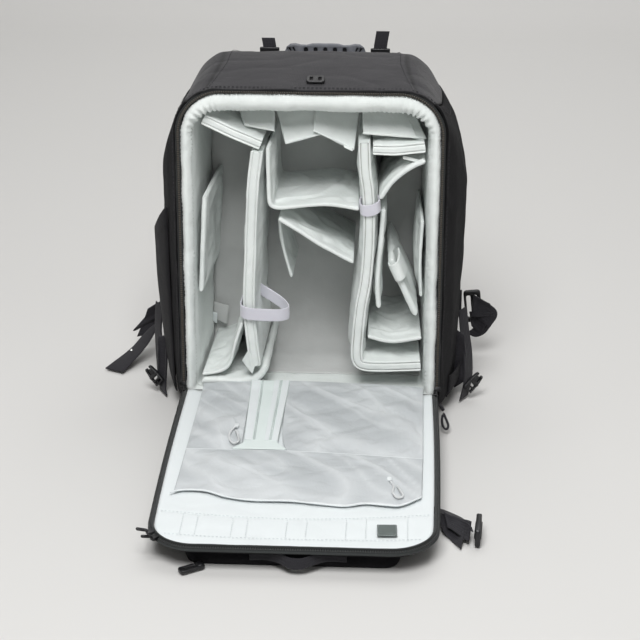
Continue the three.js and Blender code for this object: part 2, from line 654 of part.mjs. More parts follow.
// The opened front panel: its own group turns it from the hinge, and local y runs back to the hinge
function makeLid() {
  const lid = new THREE.Group();
  lid.position.set(0, FRONT_Y, HINGE_Z);
  lid.rotation.x = LID_DROP;
  group.add(lid);
  const onLid = (name, geometry, material) => {
    const mesh = new THREE.Mesh(geometry, material.clone());
    mesh.name = name;
    lid.add(mesh);
  };
  const outline = (half, start, end, radius) => {
    const shape = new THREE.Shape();
    shape.moveTo(half, -start);
    shape.lineTo(-half, -start);
    shape.absarc(-half + radius, -end + radius, radius, Math.PI, 1.5 * Math.PI, false);
    shape.absarc(half - radius, -end + radius, radius, 1.5 * Math.PI, 2 * Math.PI, false);
    return shape;
  };
  const plate = (shape, low, high) => {
    const depth = high - low;
    const geometry = new THREE.ExtrudeGeometry(shape, { depth, bevelEnabled: false, curveSegments: 8 });
    geometry.translate(0, 0, low);
    return geometry;
  };
  onLid("lid_panel", plate(outline(LID_HALF, LID_START, LID_END, LID_RADIUS), -LID_THICK, 0), materials.lid);

  const edge = LID_HALF + BINDING_GAP + BINDING_WIDTH / 2;
  const front = LID_END + BINDING_GAP + BINDING_WIDTH / 2;
  const radius = LID_RADIUS + BINDING_GAP + BINDING_WIDTH / 2;
  const track = new THREE.Path();
  track.moveTo(-edge, -LID_START);
  track.lineTo(-edge, -front + radius);
  track.absarc(-edge + radius, -front + radius, radius, Math.PI, 1.5 * Math.PI, false);
  track.absarc(edge - radius, -front + radius, radius, 1.5 * Math.PI, 2 * Math.PI, false);
  track.lineTo(edge, -LID_START);
  onLid("lid_binding", sheet((u, v) => {
    const p = track.getPointAt(u);
    const onSide = Math.abs(p.x) > edge - 2;
    const bow = onSide ? BINDING_BOW * Math.sin((Math.PI * -p.y) / front) * Math.sign(p.x) : 0;
    return new THREE.Vector3(p.x + bow, p.y, 1 - v * BINDING_HEIGHT);
  }, 60, 1, BINDING_WIDTH), materials.binding);

  const skinTop = -LID_THICK - GAP;
  const skin = plate(outline(LID_HALF - 1, LID_START, LID_END - 1, LID_RADIUS), skinTop - WALL, skinTop);
  const slope = Math.tan(LID_DROP);
  const ring = (half, near, far, corner, height) => {
    const points = [];
    const centres = [
      [half - corner, near - corner, 0], [-half + corner, near - corner, 90],
      [-half + corner, far + corner, 180], [half - corner, far + corner, 270],
    ];
    for (const [x, y, from] of centres) {
      for (let i = 0; i <= 3; i += 1) {
        const angle = THREE.MathUtils.degToRad(from + i * 30);
        const py = y + corner * Math.sin(angle);
        points.push(new THREE.Vector3(x + corner * Math.cos(angle), py, height(py)));
      }
    }
    return points;
  };
  const under = (y) => skinTop - WALL / 2;
  const floor = (y) => -(HINGE_Z + y * Math.sin(LID_DROP)) / Math.cos(LID_DROP);
  const pocket = loft([
    ring(112, -44, -350, 16, floor),
    ring(116, -38, -353, 20, (y) => floor(y) * 0.6 + under(y) * 0.4),
    ring(120, -30, -350, 24, under),
  ]);
  onLid("lid_shell", joined(skin, pocket), materials.shell);

  const meshShape = new THREE.Shape();
  meshShape.moveTo(-129, -9);
  meshShape.lineTo(-135, -258);
  meshShape.splineThru([[-118, -250], [-95, -264], [-70, -277], [-30, -279], [5, -278], [40, -273],
    [62, -269], [102, -274]].map(([x, y]) => new THREE.Vector2(x, y)));
  meshShape.lineTo(136, -254);
  meshShape.lineTo(137, -9);
  meshShape.lineTo(-25, -9);
  meshShape.lineTo(-29, -144);
  meshShape.lineTo(-16, -159);
  meshShape.lineTo(-83, -159);
  meshShape.lineTo(-69, -144);
  meshShape.lineTo(-73, -9);
  const meshTop = MESH_LIFT + MESH_THICK;
  onLid("mesh_pockets", plate(meshShape, MESH_LIFT, meshTop), materials.mesh);
  const band = new THREE.Shape([[-25.6, -9], [-72.4, -9], [-68.4, -144], [-81.8, -158.4], [-17.2, -158.4],
    [-29.6, -144]].map(([x, y]) => new THREE.Vector2(x, y)));
  onLid("zip_band", plate(band, MESH_LIFT, meshTop + 0.8), materials.lid);

  const cordHeight = meshTop + GAP + CORD_RADIUS;
  onLid("pull_cord_left", roundCord(
    [[-79, -112, cordHeight + 1.4], [-84, -122, cordHeight], [-85, -140, cordHeight], [-79, -152, cordHeight],
      [-74, -148, cordHeight], [-75.5, -132, cordHeight], [-79, -122, cordHeight]],
    CORD_RADIUS, 24), materials.cord);
  onLid("pull_cord_front", roundCord(
    [[101, -230, cordHeight], [105, -241, cordHeight], [104, -256, cordHeight], [110, -266, cordHeight],
      [115, -263, cordHeight], [112, -250, cordHeight], [109, -241, cordHeight]],
    CORD_RADIUS, 24), materials.cord);
}

// Straps and buckles that lie on the floor round the opened front panel
function makeLidStraps() {
  const loop = curveThrough([[-44, -449, 0], [-24, -449.8, 0], [-8, -460, 0], [4, -467, 0], [14, -467, 0],
    [26, -460, 0], [42, -449.8, 0], [62, -449, 0]]);
  add("grab_loop", sheet((u, v) => {
    const p = loop.getPoint(u);
    p.z = 3 + v * 14;
    return p;
  }, 20, 1, 2.4), materials.webbing);

  const clip = cut(block(28, 7, 11, 0, 0, 0), block(10, 3, 20, 6, 0, 0));
  clip.rotateX(Math.PI / 2);
  clip.rotateZ(THREE.MathUtils.degToRad(32));
  clip.translate(-104, -460, 4);
  add("lid_buckle_left", clip, materials.plastic);

  add("lid_strap_right", strap(
    [[118.5, -330, 9], [148, -332, 9], [170, -348, 11], [186, -366, 12], [189, -380, 12]],
    30, [0.2, -0.9, 0.2], [0.1, -0.9, 0.35], 12, 2), materials.webbing);
  const frame = cut(block(8, 40, 22, 0, 0, 0), block(20, 26, 12, 0, 0, 0));
  frame.rotateZ(THREE.MathUtils.degToRad(-4));
  frame.translate(197, -380, 12);
  add("lid_buckle_right", frame, materials.plastic);
}

makeShell();
makeLining();
makeDividers();
makeTopFlaps();
makeDividerLoops();
makeSidePockets();
makeTop();
makeHarness();
makeSideStraps();
makeLid();
makeLidStraps();

export default group;
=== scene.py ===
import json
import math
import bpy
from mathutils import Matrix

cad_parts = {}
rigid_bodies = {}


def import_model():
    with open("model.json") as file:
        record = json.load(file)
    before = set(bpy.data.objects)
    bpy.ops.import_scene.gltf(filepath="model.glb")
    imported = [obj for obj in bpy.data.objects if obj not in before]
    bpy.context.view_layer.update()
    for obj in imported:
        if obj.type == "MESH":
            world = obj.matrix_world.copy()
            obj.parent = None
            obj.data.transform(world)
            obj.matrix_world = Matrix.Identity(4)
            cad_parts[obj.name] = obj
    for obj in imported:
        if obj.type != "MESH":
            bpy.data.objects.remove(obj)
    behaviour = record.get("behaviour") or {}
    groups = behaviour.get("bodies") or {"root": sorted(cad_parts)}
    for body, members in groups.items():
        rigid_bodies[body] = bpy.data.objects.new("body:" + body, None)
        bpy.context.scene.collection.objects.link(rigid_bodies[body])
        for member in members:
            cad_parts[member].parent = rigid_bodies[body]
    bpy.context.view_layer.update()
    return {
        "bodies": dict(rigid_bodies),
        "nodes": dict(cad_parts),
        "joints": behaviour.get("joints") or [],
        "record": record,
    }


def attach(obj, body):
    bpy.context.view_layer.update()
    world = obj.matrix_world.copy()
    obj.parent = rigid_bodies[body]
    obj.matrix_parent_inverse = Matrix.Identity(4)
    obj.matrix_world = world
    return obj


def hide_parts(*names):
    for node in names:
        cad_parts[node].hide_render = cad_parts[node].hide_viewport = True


bl_info = {
    "name": "Camera Backpack",
    "version": (1, 0, 0),
    "blender": (4, 5, 0),
    "location": "View3D > Sidebar > Backpack",
    "description": "Makes the fabric, foam, straps and fittings of an open camera backpack round its frame",
    "category": "Add Mesh",
}

from bisect import bisect_right
from collections import namedtuple

import bmesh
import bpy
from bpy.props import FloatProperty, FloatVectorProperty, IntProperty, PointerProperty
from mathutils import Matrix, Vector, noise

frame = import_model()

# Everything below is in millimetres until a piece is finished
MM = 0.001
FRONT_Y = -95
BACK_Y = 95
WALL = 3
HINGE_Z = 40
LEAN_BACK = math.tan(math.radians(2.5))
BASE_RADIUS = 28
SHOULDER_SEAM = 3.5
SHOULDER_BULGE = 0.058
SHELL_BACK_Y = 96.3
OUTER_BACK_Y = SHELL_BACK_Y + WALL
BACK_PAD_Y = 113

# The padded inside
LINING_HALF = 151
LINING_TOP = 404.5
LINING_BOTTOM = 20
LINING_RADIUS = 50
LINING_BASE_RADIUS = 20
LINING_WALL = 13
LINING_BACK_Y = 62
LINING_BACK_IN = 7
LINING_BACK_DOWN = 12
LINING_BACK_RADIUS = 58
DIVIDER_FRONT_Y = -86
DIVIDER_BACK_Y = 61.4

# The opened front panel, in its own frame: local y runs forward from the hinge as a negative number
LID_HALF = 147.5
LID_START = 6.5
LID_END = 360
LID_RADIUS = 44
LID_THICK = 8
LID_DROP = math.radians(1.5)

Section = namedtuple("Section", "y half top shoulder_x shoulder_z taper")
BODY = [
    Section(-95, 157, 408, 50, 50, 2),
    Section(-62, 170, 412, 76, 96, 5),
    Section(-15, 181, 416, 100, 150, 9),
    Section(35, 181, 416, 102, 150, 9),
    Section(72, 170, 406.5, 92, 120, 6),
    Section(95, 152, 398, 76, 96, 3),
]


def linear(code):
    """Linear red, green and blue from an sRGB hex code."""
    shares = [int(code[i:i + 2], 16) / 255 for i in (0, 2, 4)]
    return tuple(s / 12.92 if s <= 0.04045 else ((s + 0.055) / 1.055) ** 2.4 for s in shares)


class BackpackSizes(bpy.types.PropertyGroup):
    """Sizes that a maker of such a bag would change."""

    rim_pucker: FloatProperty(
        name="Rim pucker", description="Height of the fine puckers on the padded rim",
        default=0.00055, min=0, unit="LENGTH")
    foam_crown: FloatProperty(
        name="Foam crown", description="How far a divider's faces swell",
        default=0.0016, min=0, unit="LENGTH")
    stitch_length: FloatProperty(
        name="Stitch length", description="Length of one stitch of the seams",
        default=0.0034, min=0.001, unit="LENGTH")
    tooth_pitch: FloatProperty(
        name="Zip tooth pitch", description="Spacing of the zip's teeth",
        default=0.0026, min=0.001, unit="LENGTH")
    cord_diameter: FloatProperty(
        name="Pull cord", description="Diameter of the zip pulls' cord",
        default=0.0024, min=0.001, unit="LENGTH")
    puff_frames: IntProperty(
        name="Puff frames", description="Frames of the cloth simulation that swells a pad",
        default=14, min=1, max=40)


class BackpackColours(bpy.types.PropertyGroup):
    """Colours of the bag's cloths and fittings."""

    shell: FloatVectorProperty(
        name="Outer fabric", description="Charcoal woven nylon",
        default=linear("141316"), size=3, subtype="COLOR", min=0, max=1)
    lining: FloatVectorProperty(
        name="Lining", description="Pale brushed polyester of the dividers and walls",
        default=linear("eaeeec"), size=3, subtype="COLOR", min=0, max=1)
    lid: FloatVectorProperty(
        name="Front panel lining", description="Near-white plain woven polyester",
        default=linear("e3e8e9"), size=3, subtype="COLOR", min=0, max=1)
    back_panel: FloatVectorProperty(
        name="Back panel", description="Grey brushed polyester at the back of the inside",
        default=linear("cacbca"), size=3, subtype="COLOR", min=0, max=1)
    mesh: FloatVectorProperty(
        name="Mesh", description="Pale grey net of the front panel's pockets",
        default=linear("bfc3c5"), size=3, subtype="COLOR", min=0, max=1)
    floor: FloatVectorProperty(
        name="Floor", description="Plain pale floor and backdrop",
        default=linear("d2d1cf"), size=3, subtype="COLOR", min=0, max=1)


# Curves and places

def centripetal(before, start, end, after, t):
    """A point of the centripetal Catmull-Rom span from start to end."""
    gaps = [max(math.sqrt((b - a).length), 1e-4) for a, b in ((before, start), (start, end), (end, after))]
    leave = ((start - before) / gaps[0] - (end - before) / (gaps[0] + gaps[1])
             + (end - start) / gaps[1]) * gaps[1]
    arrive = ((end - start) / gaps[1] - (after - start) / (gaps[1] + gaps[2])
              + (after - end) / gaps[2]) * gaps[1]
    square = t * t
    cube = square * t
    return (start * (2 * cube - 3 * square + 1) + leave * (cube - 2 * square + t)
            + end * (3 * square - 2 * cube) + arrive * (cube - square))


class Track:
    """A smooth curve through a few points, walked by its length."""

    SPAN_STEPS = 12

    def __init__(self, points):
        stops = [Vector(p) for p in points]
        stops = [2 * stops[0] - stops[1], *stops, 2 * stops[-1] - stops[-2]]
        self.points = [stops[1]]
        for i in range(1, len(stops) - 2):
            for k in range(1, self.SPAN_STEPS + 1):
                self.points.append(centripetal(*stops[i - 1:i + 3], k / self.SPAN_STEPS))
        self.marks = [0.0]
        for a, b in zip(self.points, self.points[1:]):
            self.marks.append(self.marks[-1] + (b - a).length)
        self.length = self.marks[-1]

    def at(self, t):
        """The point at share t of the length; past the ends it runs on straight."""
        target = t * self.length
        i = min(max(bisect_right(self.marks, target) - 1, 0), len(self.points) - 2)
        span = self.marks[i + 1] - self.marks[i]
        return self.points[i].lerp(self.points[i + 1], (target - self.marks[i]) / span)

    def heading(self, t):
        """The direction of the curve at share t of its length."""
        step = 1 / max(self.length, 1)
        return (self.at(min(t + step, 1)) - self.at(max(t - step, 0))).normalized()


def leaned(point):
    """The bag leans back a little on its base."""
    return Vector((point.x, point.y + LEAN_BACK * (point.z - HINGE_Z), point.z))


def on_lid(x, y, z):
    """A point of the opened front panel's own frame, in the bag's frame."""
    tilt = Matrix.Rotation(LID_DROP, 3, "X")
    return tilt @ Vector((x, y, z)) + Vector((0, FRONT_Y, HINGE_Z))


def body_section(y):
    """The outer form's sizes at depth y."""
    i = 0
    while i < len(BODY) - 2 and y > BODY[i + 1].y:
        i += 1
    t = (y - BODY[i].y) / (BODY[i + 1].y - BODY[i].y)
    around = [BODY[max(i - 1, 0)], BODY[i], BODY[i + 1], BODY[min(i + 2, len(BODY) - 1)]]
    values = [y]
    for a, b, c, d in list(zip(*around))[1:]:
        values.append((2 * t**3 - 3 * t**2 + 1) * b + (t**3 - 2 * t**2 + t) * (c - a) / 2
                      + (3 * t**2 - 2 * t**3) * c + (t**3 - t**2) * (d - b) / 2)
    return Section(*values)


def body_point(side, s, y):
    """Walks the outer form: 0 to 1 base, 1 to 2 base corner, 2 to 3 side, 3 to 4 shoulder, 4 to 5 top."""
    form = body_section(y)
    base = WALL / 2
    turn = math.pi / 2
    if s <= 1:
        return Vector((side * s * (form.half - form.taper - BASE_RADIUS), y, base))
    if s <= 2:
        angle = (s - 1) * turn
        x = form.half - form.taper - BASE_RADIUS + BASE_RADIUS * math.sin(angle)
        return Vector((side * x, y, base + BASE_RADIUS * (1 - math.cos(angle))))
    if s <= 3:
        low = base + BASE_RADIUS
        return Vector((side * (form.half - form.taper * (3 - s)**2), y,
                       low + (s - 2) * (form.top - form.shoulder_z - low)))
    if s <= 4:
        angle = (s - 3) * turn
        across = math.cos(angle)
        fuller = smooth_step(0.72, 0.52, across) * smooth_step(0.06, 0.4, across) * smooth_step(FRONT_Y,
                                                                                                -50, y)
        rise = min(1, math.sin(angle) + SHOULDER_BULGE * fuller)
        x = form.half - form.shoulder_x + form.shoulder_x * across
        return Vector((side * x, y, form.top - form.shoulder_z + form.shoulder_z * rise))
    return Vector((side * (5 - s) * (form.half - form.shoulder_x), y, form.top))


def inside_taper(point):
    """The inside narrows towards the back, and what stands in it narrows with it."""
    t = max(0, (point.y - FRONT_Y) / (LINING_BACK_Y - FRONT_Y))
    full_half = LINING_HALF - LINING_WALL
    full_height = LINING_TOP - LINING_WALL - LINING_BOTTOM
    x = point.x * (1 - LINING_BACK_IN * t / full_half)
    z = point.z - LINING_BACK_DOWN * t * (point.z - LINING_BOTTOM) / full_height
    return Vector((x, point.y, z))


def round_outline(half_x, low, high, top_radius, base_radius):
    """A rounded rectangle's corners from the top right, against the clock: centre, radius, start angle."""
    return [
        (Vector((half_x - top_radius, high - top_radius)), top_radius, 0),
        (Vector((-half_x + top_radius, high - top_radius)), top_radius, 90),
        (Vector((-half_x + base_radius, low + base_radius)), base_radius, 180),
        (Vector((half_x - base_radius, low + base_radius)), base_radius, 270),
    ]


def outline_stations(corners, spacing):
    """Stops round a rounded rectangle: corner number, share of its arc, share of the straight after it."""
    stations = []
    for number, (_, radius, _) in enumerate(corners):
        steps = max(3, round(radius * math.pi / 2 / spacing))
        stations += [(number, k / steps, 0) for k in range(steps)]
        leave = outline_spot(corners, (number, 1, 0))[0]
        reach = outline_spot(corners, ((number + 1) % len(corners), 0, 0))[0]
        steps = max(1, round((reach - leave).length / spacing))
        stations += [(number, 1, k / steps) for k in range(steps)]
    return stations


def outline_spot(corners, station):
    """Place and outward direction of a stop on a rounded rectangle."""
    number, arc, straight = station
    centre, radius, start = corners[number]
    angle = math.radians(start + 90 * arc)
    out = Vector((math.cos(angle), math.sin(angle)))
    place = centre + out * radius
    if straight:
        following, next_radius, next_start = corners[(number + 1) % len(corners)]
        turn = math.radians(next_start)
        place = place.lerp(following + Vector((math.cos(turn), math.sin(turn))) * next_radius, straight)
    return place, out


def folds(point, sizes, seed=0):
    """Soft folds in cloth, from -1 to 1: sizes are their lengths along x, y and z."""
    spot = Vector((point.x / sizes[0], point.y / sizes[1], point.z / sizes[2]))
    return noise.noise(spot + Vector((seed * 7.3, seed * 3.1, seed * 5.7)))


def crease(point, sizes, seed=0):
    """Narrow raised creases between flat stretches, from 0 to 1."""
    return max(0, 1 - 3.2 * abs(folds(point, sizes, seed)))**2


def smooth_step(low, high, value):
    """Rises smoothly from 0 at low to 1 at high."""
    t = min(1, max(0, (value - low) / (high - low)))
    return t * t * (3 - 2 * t)


# Shapes

def laid_grid(columns, rows, place, wrap=False, relief=None, shade=None, closed=False, pin=None):
    """A grid of quads whose vertices are moved to place(i, j); relief moves them along their normals."""
    shape = bmesh.new()
    uv = shape.loops.layers.uv.new("UVMap")
    # This layer marks the seams, and on the nets the painted highlights along their folds
    seam = shape.verts.layers.float.new("seam")
    held = shape.verts.layers.float.new("held")
    bmesh.ops.create_grid(shape, x_segments=columns, y_segments=rows, size=0.5)
    spots = {v: (round((v.co.x + 0.5) * columns), round((v.co.y + 0.5) * rows)) for v in shape.verts}
    for vert, (i, j) in spots.items():
        vert.co = place(i, j)
    across = [0.0]
    for i in range(columns):
        across.append(across[-1] + (place(i + 1, rows // 2) - place(i, rows // 2)).length * MM)
    along = [0.0]
    for j in range(rows):
        along.append(along[-1] + (place(columns // 2, j + 1) - place(columns // 2, j)).length * MM)
    for face in shape.faces:
        for loop in face.loops:
            i, j = spots[loop.vert]
            loop[uv].uv = (across[i], along[j])
    if wrap:
        bmesh.ops.remove_doubles(shape, verts=shape.verts[:], dist=1e-3)
    if closed:
        bmesh.ops.recalc_face_normals(shape, faces=shape.faces[:])
    shape.normal_update()
    if relief:
        moves = [(v, v.normal * relief(*spots[v], v.co)) for v in shape.verts]
        for vert, move in moves:
            vert.co += move
    for layer, value in ((seam, shade), (held, pin)):
        if value:
            for vert in shape.verts:
                vert[layer] = value(*spots[vert])
    return shape


def joined(*shapes):
    """Several shapes as one."""
    whole = bmesh.new()
    for shape in shapes:
        mesh = bpy.data.meshes.new("part")
        shape.to_mesh(mesh)
        shape.free()
        whole.from_mesh(mesh)
        bpy.data.meshes.remove(mesh)
    return whole


def spread(corners, s, t):
    """A point among four corners: s across and t down."""
    upper_left, upper_right, lower_left, lower_right = corners
    return upper_left.lerp(upper_right, s).lerp(lower_left.lerp(lower_right, s), t)


def close_holes(shape, longest=math.inf):
    """Closes a shape along its open edges that are shorter than a length."""
    bmesh.ops.holes_fill(shape, edges=[e for e in shape.edges if e.is_boundary and e.calc_length() < longest])


def rounded(width, height, radius, x=0.0, y=0.0, steps=3):
    """The points of a rounded rectangle round (x, y)."""
    points = []
    for quarter, (sx, sy) in enumerate(((1, 1), (-1, 1), (-1, -1), (1, -1))):
        centre = (x + sx * (width / 2 - radius), y + sy * (height / 2 - radius))
        for k in range(steps + 1):
            angle = math.pi / 2 * (quarter + k / steps)
            points.append((centre[0] + radius * math.cos(angle), centre[1] + radius * math.sin(angle)))
    return points


def flat_part(outlines, thickness, bevel, matrix=Matrix()):
    """A flat moulded part with rounded edges from closed outlines, with holes for those inside the first."""
    line = bpy.data.curves.new("outline", "CURVE")
    line.dimensions = "2D"
    line.fill_mode = "BOTH"
    line.extrude = thickness / 2 - bevel
    line.bevel_depth = bevel
    line.bevel_resolution = 1
    line.offset = -bevel
    for points in outlines:
        spline = line.splines.new("POLY")
        spline.points.add(len(points) - 1)
        spline.use_cyclic_u = True
        for k, point in enumerate(points):
            spline.points[k].co = (*point, 0, 1)
    holder = bpy.data.objects.new("outline", line)
    shape = bmesh.new()
    shape.from_mesh(holder.to_mesh())
    holder.to_mesh_clear()
    bpy.data.objects.remove(holder)
    bpy.data.curves.remove(line)
    bmesh.ops.remove_doubles(shape, verts=shape.verts[:], dist=1e-3)
    bmesh.ops.recalc_face_normals(shape, faces=shape.faces[:])
    bmesh.ops.transform(shape, matrix=matrix, verts=shape.verts[:])
    return shape


def turned(at, *turns):
    """The place of a part: turns about X, Y or Z in degrees, first to last, then a move."""
    matrix = Matrix()
    for axis, angle in turns:
        matrix = Matrix.Rotation(math.radians(angle), 4, axis) @ matrix
    return Matrix.Translation(Vector(at)) @ matrix


def standing(x, y, z):
    """The place of a part that leans back with the bag."""
    return Matrix.Translation(leaned(Vector((x, y, z))))


def tube(points, radius, sides=8, step=1.5):
    """A round line along a curve, closed at both ends."""
    track = Track(points)
    count = max(4, round(track.length / step))
    frames = []
    side = track.heading(0).orthogonal().normalized()
    for k in range(count + 1):
        ahead = track.heading(k / count)
        side = (side - ahead * side.dot(ahead)).normalized()
        frames.append((track.at(k / count), side, ahead.cross(side)))

    def place(i, j):
        spot, across, up = frames[i]
        angle = math.tau * (j % sides) / sides
        size = radius if 0 < i < count else radius * 0.3
        return spot + (across * math.cos(angle) + up * math.sin(angle)) * size
    shape = laid_grid(count, sides, place, wrap=True, closed=True)
    close_holes(shape)
    return shape


def stitches(rows, length, gap, radius=0.35):
    """Rows of stitches: each row is a track on the cloth."""
    shape = bmesh.new()
    for track in rows:
        count = max(1, int(track.length / (length + gap)))
        for k in range(count):
            t = (k + 0.5) / count
            turn = track.heading(t).to_track_quat("Z", "Y").to_matrix().to_4x4()
            size = Matrix.Diagonal((radius, radius, length / 2, 1))
            bmesh.ops.create_uvsphere(shape, u_segments=5, v_segments=4, radius=1,
                                      matrix=Matrix.Translation(track.at(t)) @ turn @ size)
    return shape


def teeth(spots, width, length, height):
    """A zip's teeth: a block across the tape at each spot, given with its directions along and across."""
    shape = bmesh.new()
    for place, along, across in spots:
        up = along.cross(across)
        turn = Matrix((along, across, up)).transposed().to_4x4()
        size = Matrix.Diagonal((length, width, height, 1))
        bmesh.ops.create_cube(shape, size=1, matrix=Matrix.Translation(place) @ turn @ size)
    return shape


def paced(points, pitch):
    """Spots a pitch apart on a line of points, each with its heading."""
    track_marks = [0.0]
    for a, b in zip(points, points[1:]):
        track_marks.append(track_marks[-1] + (b - a).length)
    spots = []
    i = 0
    for k in range(int(track_marks[-1] / pitch)):
        target = (k + 0.5) * pitch
        while track_marks[i + 1] < target:
            i += 1
        share = (target - track_marks[i]) / (track_marks[i + 1] - track_marks[i])
        spots.append((points[i].lerp(points[i + 1], share), (points[i + 1] - points[i]).normalized()))
    return spots


PUFFS = []


def puff(piece, pressure, growth, most):
    """Puts a piece down for the simulation: pressure, how much too large its cloth is, the most it moves."""
    group = piece.vertex_groups.new(name="seams")
    for k, value in enumerate(piece.data.attributes["held"].data):
        if value.value > 0:
            group.add([k], value.value, "REPLACE")
    PUFFS.append((piece, pressure, growth, most * MM))


def settle(frames):
    """Lets each piece put down for it swell and wrinkle between its seams, and keeps that shape."""
    scene = bpy.context.scene
    later = []
    for piece, pressure, growth, most in PUFFS:
        for modifier in piece.modifiers:
            later.append(modifier)
            modifier.show_viewport = False
        made = piece.modifiers.new("Puff", "CLOTH")
        piece.modifiers.move(len(piece.modifiers) - 1, 0)
        made.settings.quality = 4
        made.settings.mass = 0.15
        made.settings.tension_stiffness = 18
        made.settings.compression_stiffness = 18
        made.settings.shear_stiffness = 8
        made.settings.bending_stiffness = 0.15
        made.settings.air_damping = 3
        made.settings.vertex_group_mass = "seams"
        made.settings.shrink_min = -growth
        made.settings.shrink_max = -growth
        made.settings.use_pressure = True
        made.settings.uniform_pressure_force = pressure
        made.settings.effector_weights.gravity = 0
        made.collision_settings.use_collision = False
        made.point_cache.frame_start = 1
        made.point_cache.frame_end = frames
    for frame in range(1, frames + 1):
        scene.frame_set(frame)
    graph = bpy.context.evaluated_depsgraph_get()
    for piece, pressure, growth, most in PUFFS:
        swollen = piece.evaluated_get(graph).data
        for vert, moved in zip(piece.data.vertices, swollen.vertices):
            move = moved.co - vert.co
            if move.length > most:
                move.length = most
            vert.co += move
    for piece, *_ in PUFFS:
        piece.modifiers.remove(piece.modifiers["Puff"])
    for modifier in later:
        modifier.show_viewport = True
    scene.frame_set(1)


def add_piece(name, shape, finish, stands_for=(), slot=None, wall=0.0, levels=0, bevel=0.0):
    """Finishes a shape as an object in its finish that rides on the bag; slot is not used."""
    slot = slot or finish
    bmesh.ops.scale(shape, vec=Vector((MM, MM, MM)), verts=shape.verts[:])
    mesh = bpy.data.meshes.new(name)
    shape.to_mesh(mesh)
    shape.free()
    mesh.shade_smooth()
    mesh.materials.append(FINISHES[finish])
    piece = bpy.data.objects.new(name, mesh)
    bpy.context.scene.collection.objects.link(piece)
    if wall:
        solid = piece.modifiers.new("Wall", "SOLIDIFY")
        solid.thickness = wall * MM
        solid.offset = 0
    if bevel:
        edge = piece.modifiers.new("Edge", "BEVEL")
        edge.width = bevel * MM
        edge.segments = 2
        edge.limit_method = "ANGLE"
        edge.harden_normals = False
    if levels:
        finer = piece.modifiers.new("Smooth", "SUBSURF")
        finer.levels = levels
        finer.render_levels = levels
        finer.boundary_smooth = "PRESERVE_CORNERS"
    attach(piece, "root")
    if stands_for:
        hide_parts(*stands_for)
    return piece


def round_edge(half, steps=4):
    """A half-round edge as pairs: how far in from the edge, how far from the middle."""
    turns = [math.pi / 2 * k / steps for k in range(steps + 1)]
    return [(half * (1 - math.cos(a)), half * math.sin(a)) for a in turns]


def boxed_edge(half):
    """A boxed foam edge with a roll of piping along both corners and a sunk seam beside each."""
    return [
        (-0.9, 0), (-0.9, half * 0.4), (-0.5, half - 3.9), (0.3, half - 3.2), (0.6, half - 2.7),
        (-0.1, half - 2.3),
        (-0.8, half - 1.6), (-0.9, half - 0.8), (-0.2, half), (0.8, half + 0.2), (1.9, half),
        (2.6, half - 0.7), (3.4, half - 0.5), (6, half),
    ]


def boxed_end():
    """The square end of a boxed pad: how far in from the end, and the share of the full section there."""
    return [(0, 0), (0.02, 0.45), (0.1, 0.85), (0.6, 0.97), (1.8, 1)]


def slab(middle, length, width, half, front=None, ends=None, step=5.0, relief=None, shade=None, pin=None):
    """A closed pad about a middle surface: middle(u, w) is its place along the length and from the front."""
    front = front or round_edge(half)
    back = round_edge(half)
    rest = width - front[-1][0] - back[-1][0]
    runs = max(2, round(rest / step))
    top_side = [(e, h) for e, h in front]
    top_side += [(front[-1][0] + rest * k / runs, half) for k in range(1, runs)]
    top_side += [(width - e, h) for e, h in reversed(back)]
    section = top_side + [(e, -h) for e, h in reversed(top_side[1:-1])]
    ends = ends or [(e, h / half) for e, h in round_edge(half, 4)]
    rest = length - 2 * ends[-1][0]
    runs = max(2, round(rest / step))
    stops = ends + [(ends[-1][0] + rest * k / runs, 1) for k in range(1, runs)]
    stops += [(length - e, f) for e, f in reversed(ends)]

    def spot(i, j):
        along, fullness = stops[i]
        in_from_front, height = section[j % len(section)]
        return along / length, in_from_front / width, height, fullness

    def place(i, j):
        u, w, height, fullness = spot(i, j)
        near = 0.004
        along_u = middle(min(u + near, 1), w) - middle(max(u - near, 0), w)
        along_w = middle(u, w + near) - middle(u, w - near)
        normal = along_u.cross(along_w).normalized()
        return middle(u, w) + normal * height * fullness

    def raised(i, j, co):
        u, w, height, fullness = spot(i, j)
        return relief(u, w, height, co) * fullness

    def shaded(i, j):
        return shade(*spot(i, j)[:3])

    def pinned(i, j):
        return pin(*spot(i, j)[:3])

    return laid_grid(len(stops) - 1, len(section), place, wrap=True, closed=True,
                     relief=raised if relief else None,
                     shade=shaded if shade else None, pin=pinned if pin else None)


def ribbon(points, width, across_start, across_end, thickness=2.0, step=4.0, edge_wave=0.0, seed=0):
    """A flat strap along a curve: across gives the direction of its width at each end."""
    track = Track(points)
    start = Vector(across_start).normalized()
    end = Vector(across_end).normalized()

    def middle(u, w):
        across = start.lerp(end, min(max(u, 0), 1)).normalized()
        wave = edge_wave * folds(track.at(u), (14, 14, 14), seed)
        return track.at(u) + across * ((0.5 - w) * width) + across.cross(track.heading(u)) * wave

    return slab(middle, track.length, width, thickness / 2, step=step)


# Materials

def node(tree, kind, links=None, **settings):
    """Adds a node with its settings; links maps an input to a value or to another node's output."""
    made = tree.nodes.new(kind)
    for name, value in settings.items():
        setattr(made, name, value)
    for name, value in (links or {}).items():
        if isinstance(value, bpy.types.NodeSocket):
            tree.links.new(value, made.inputs[name])
        else:
            made.inputs[name].default_value = value
    return made


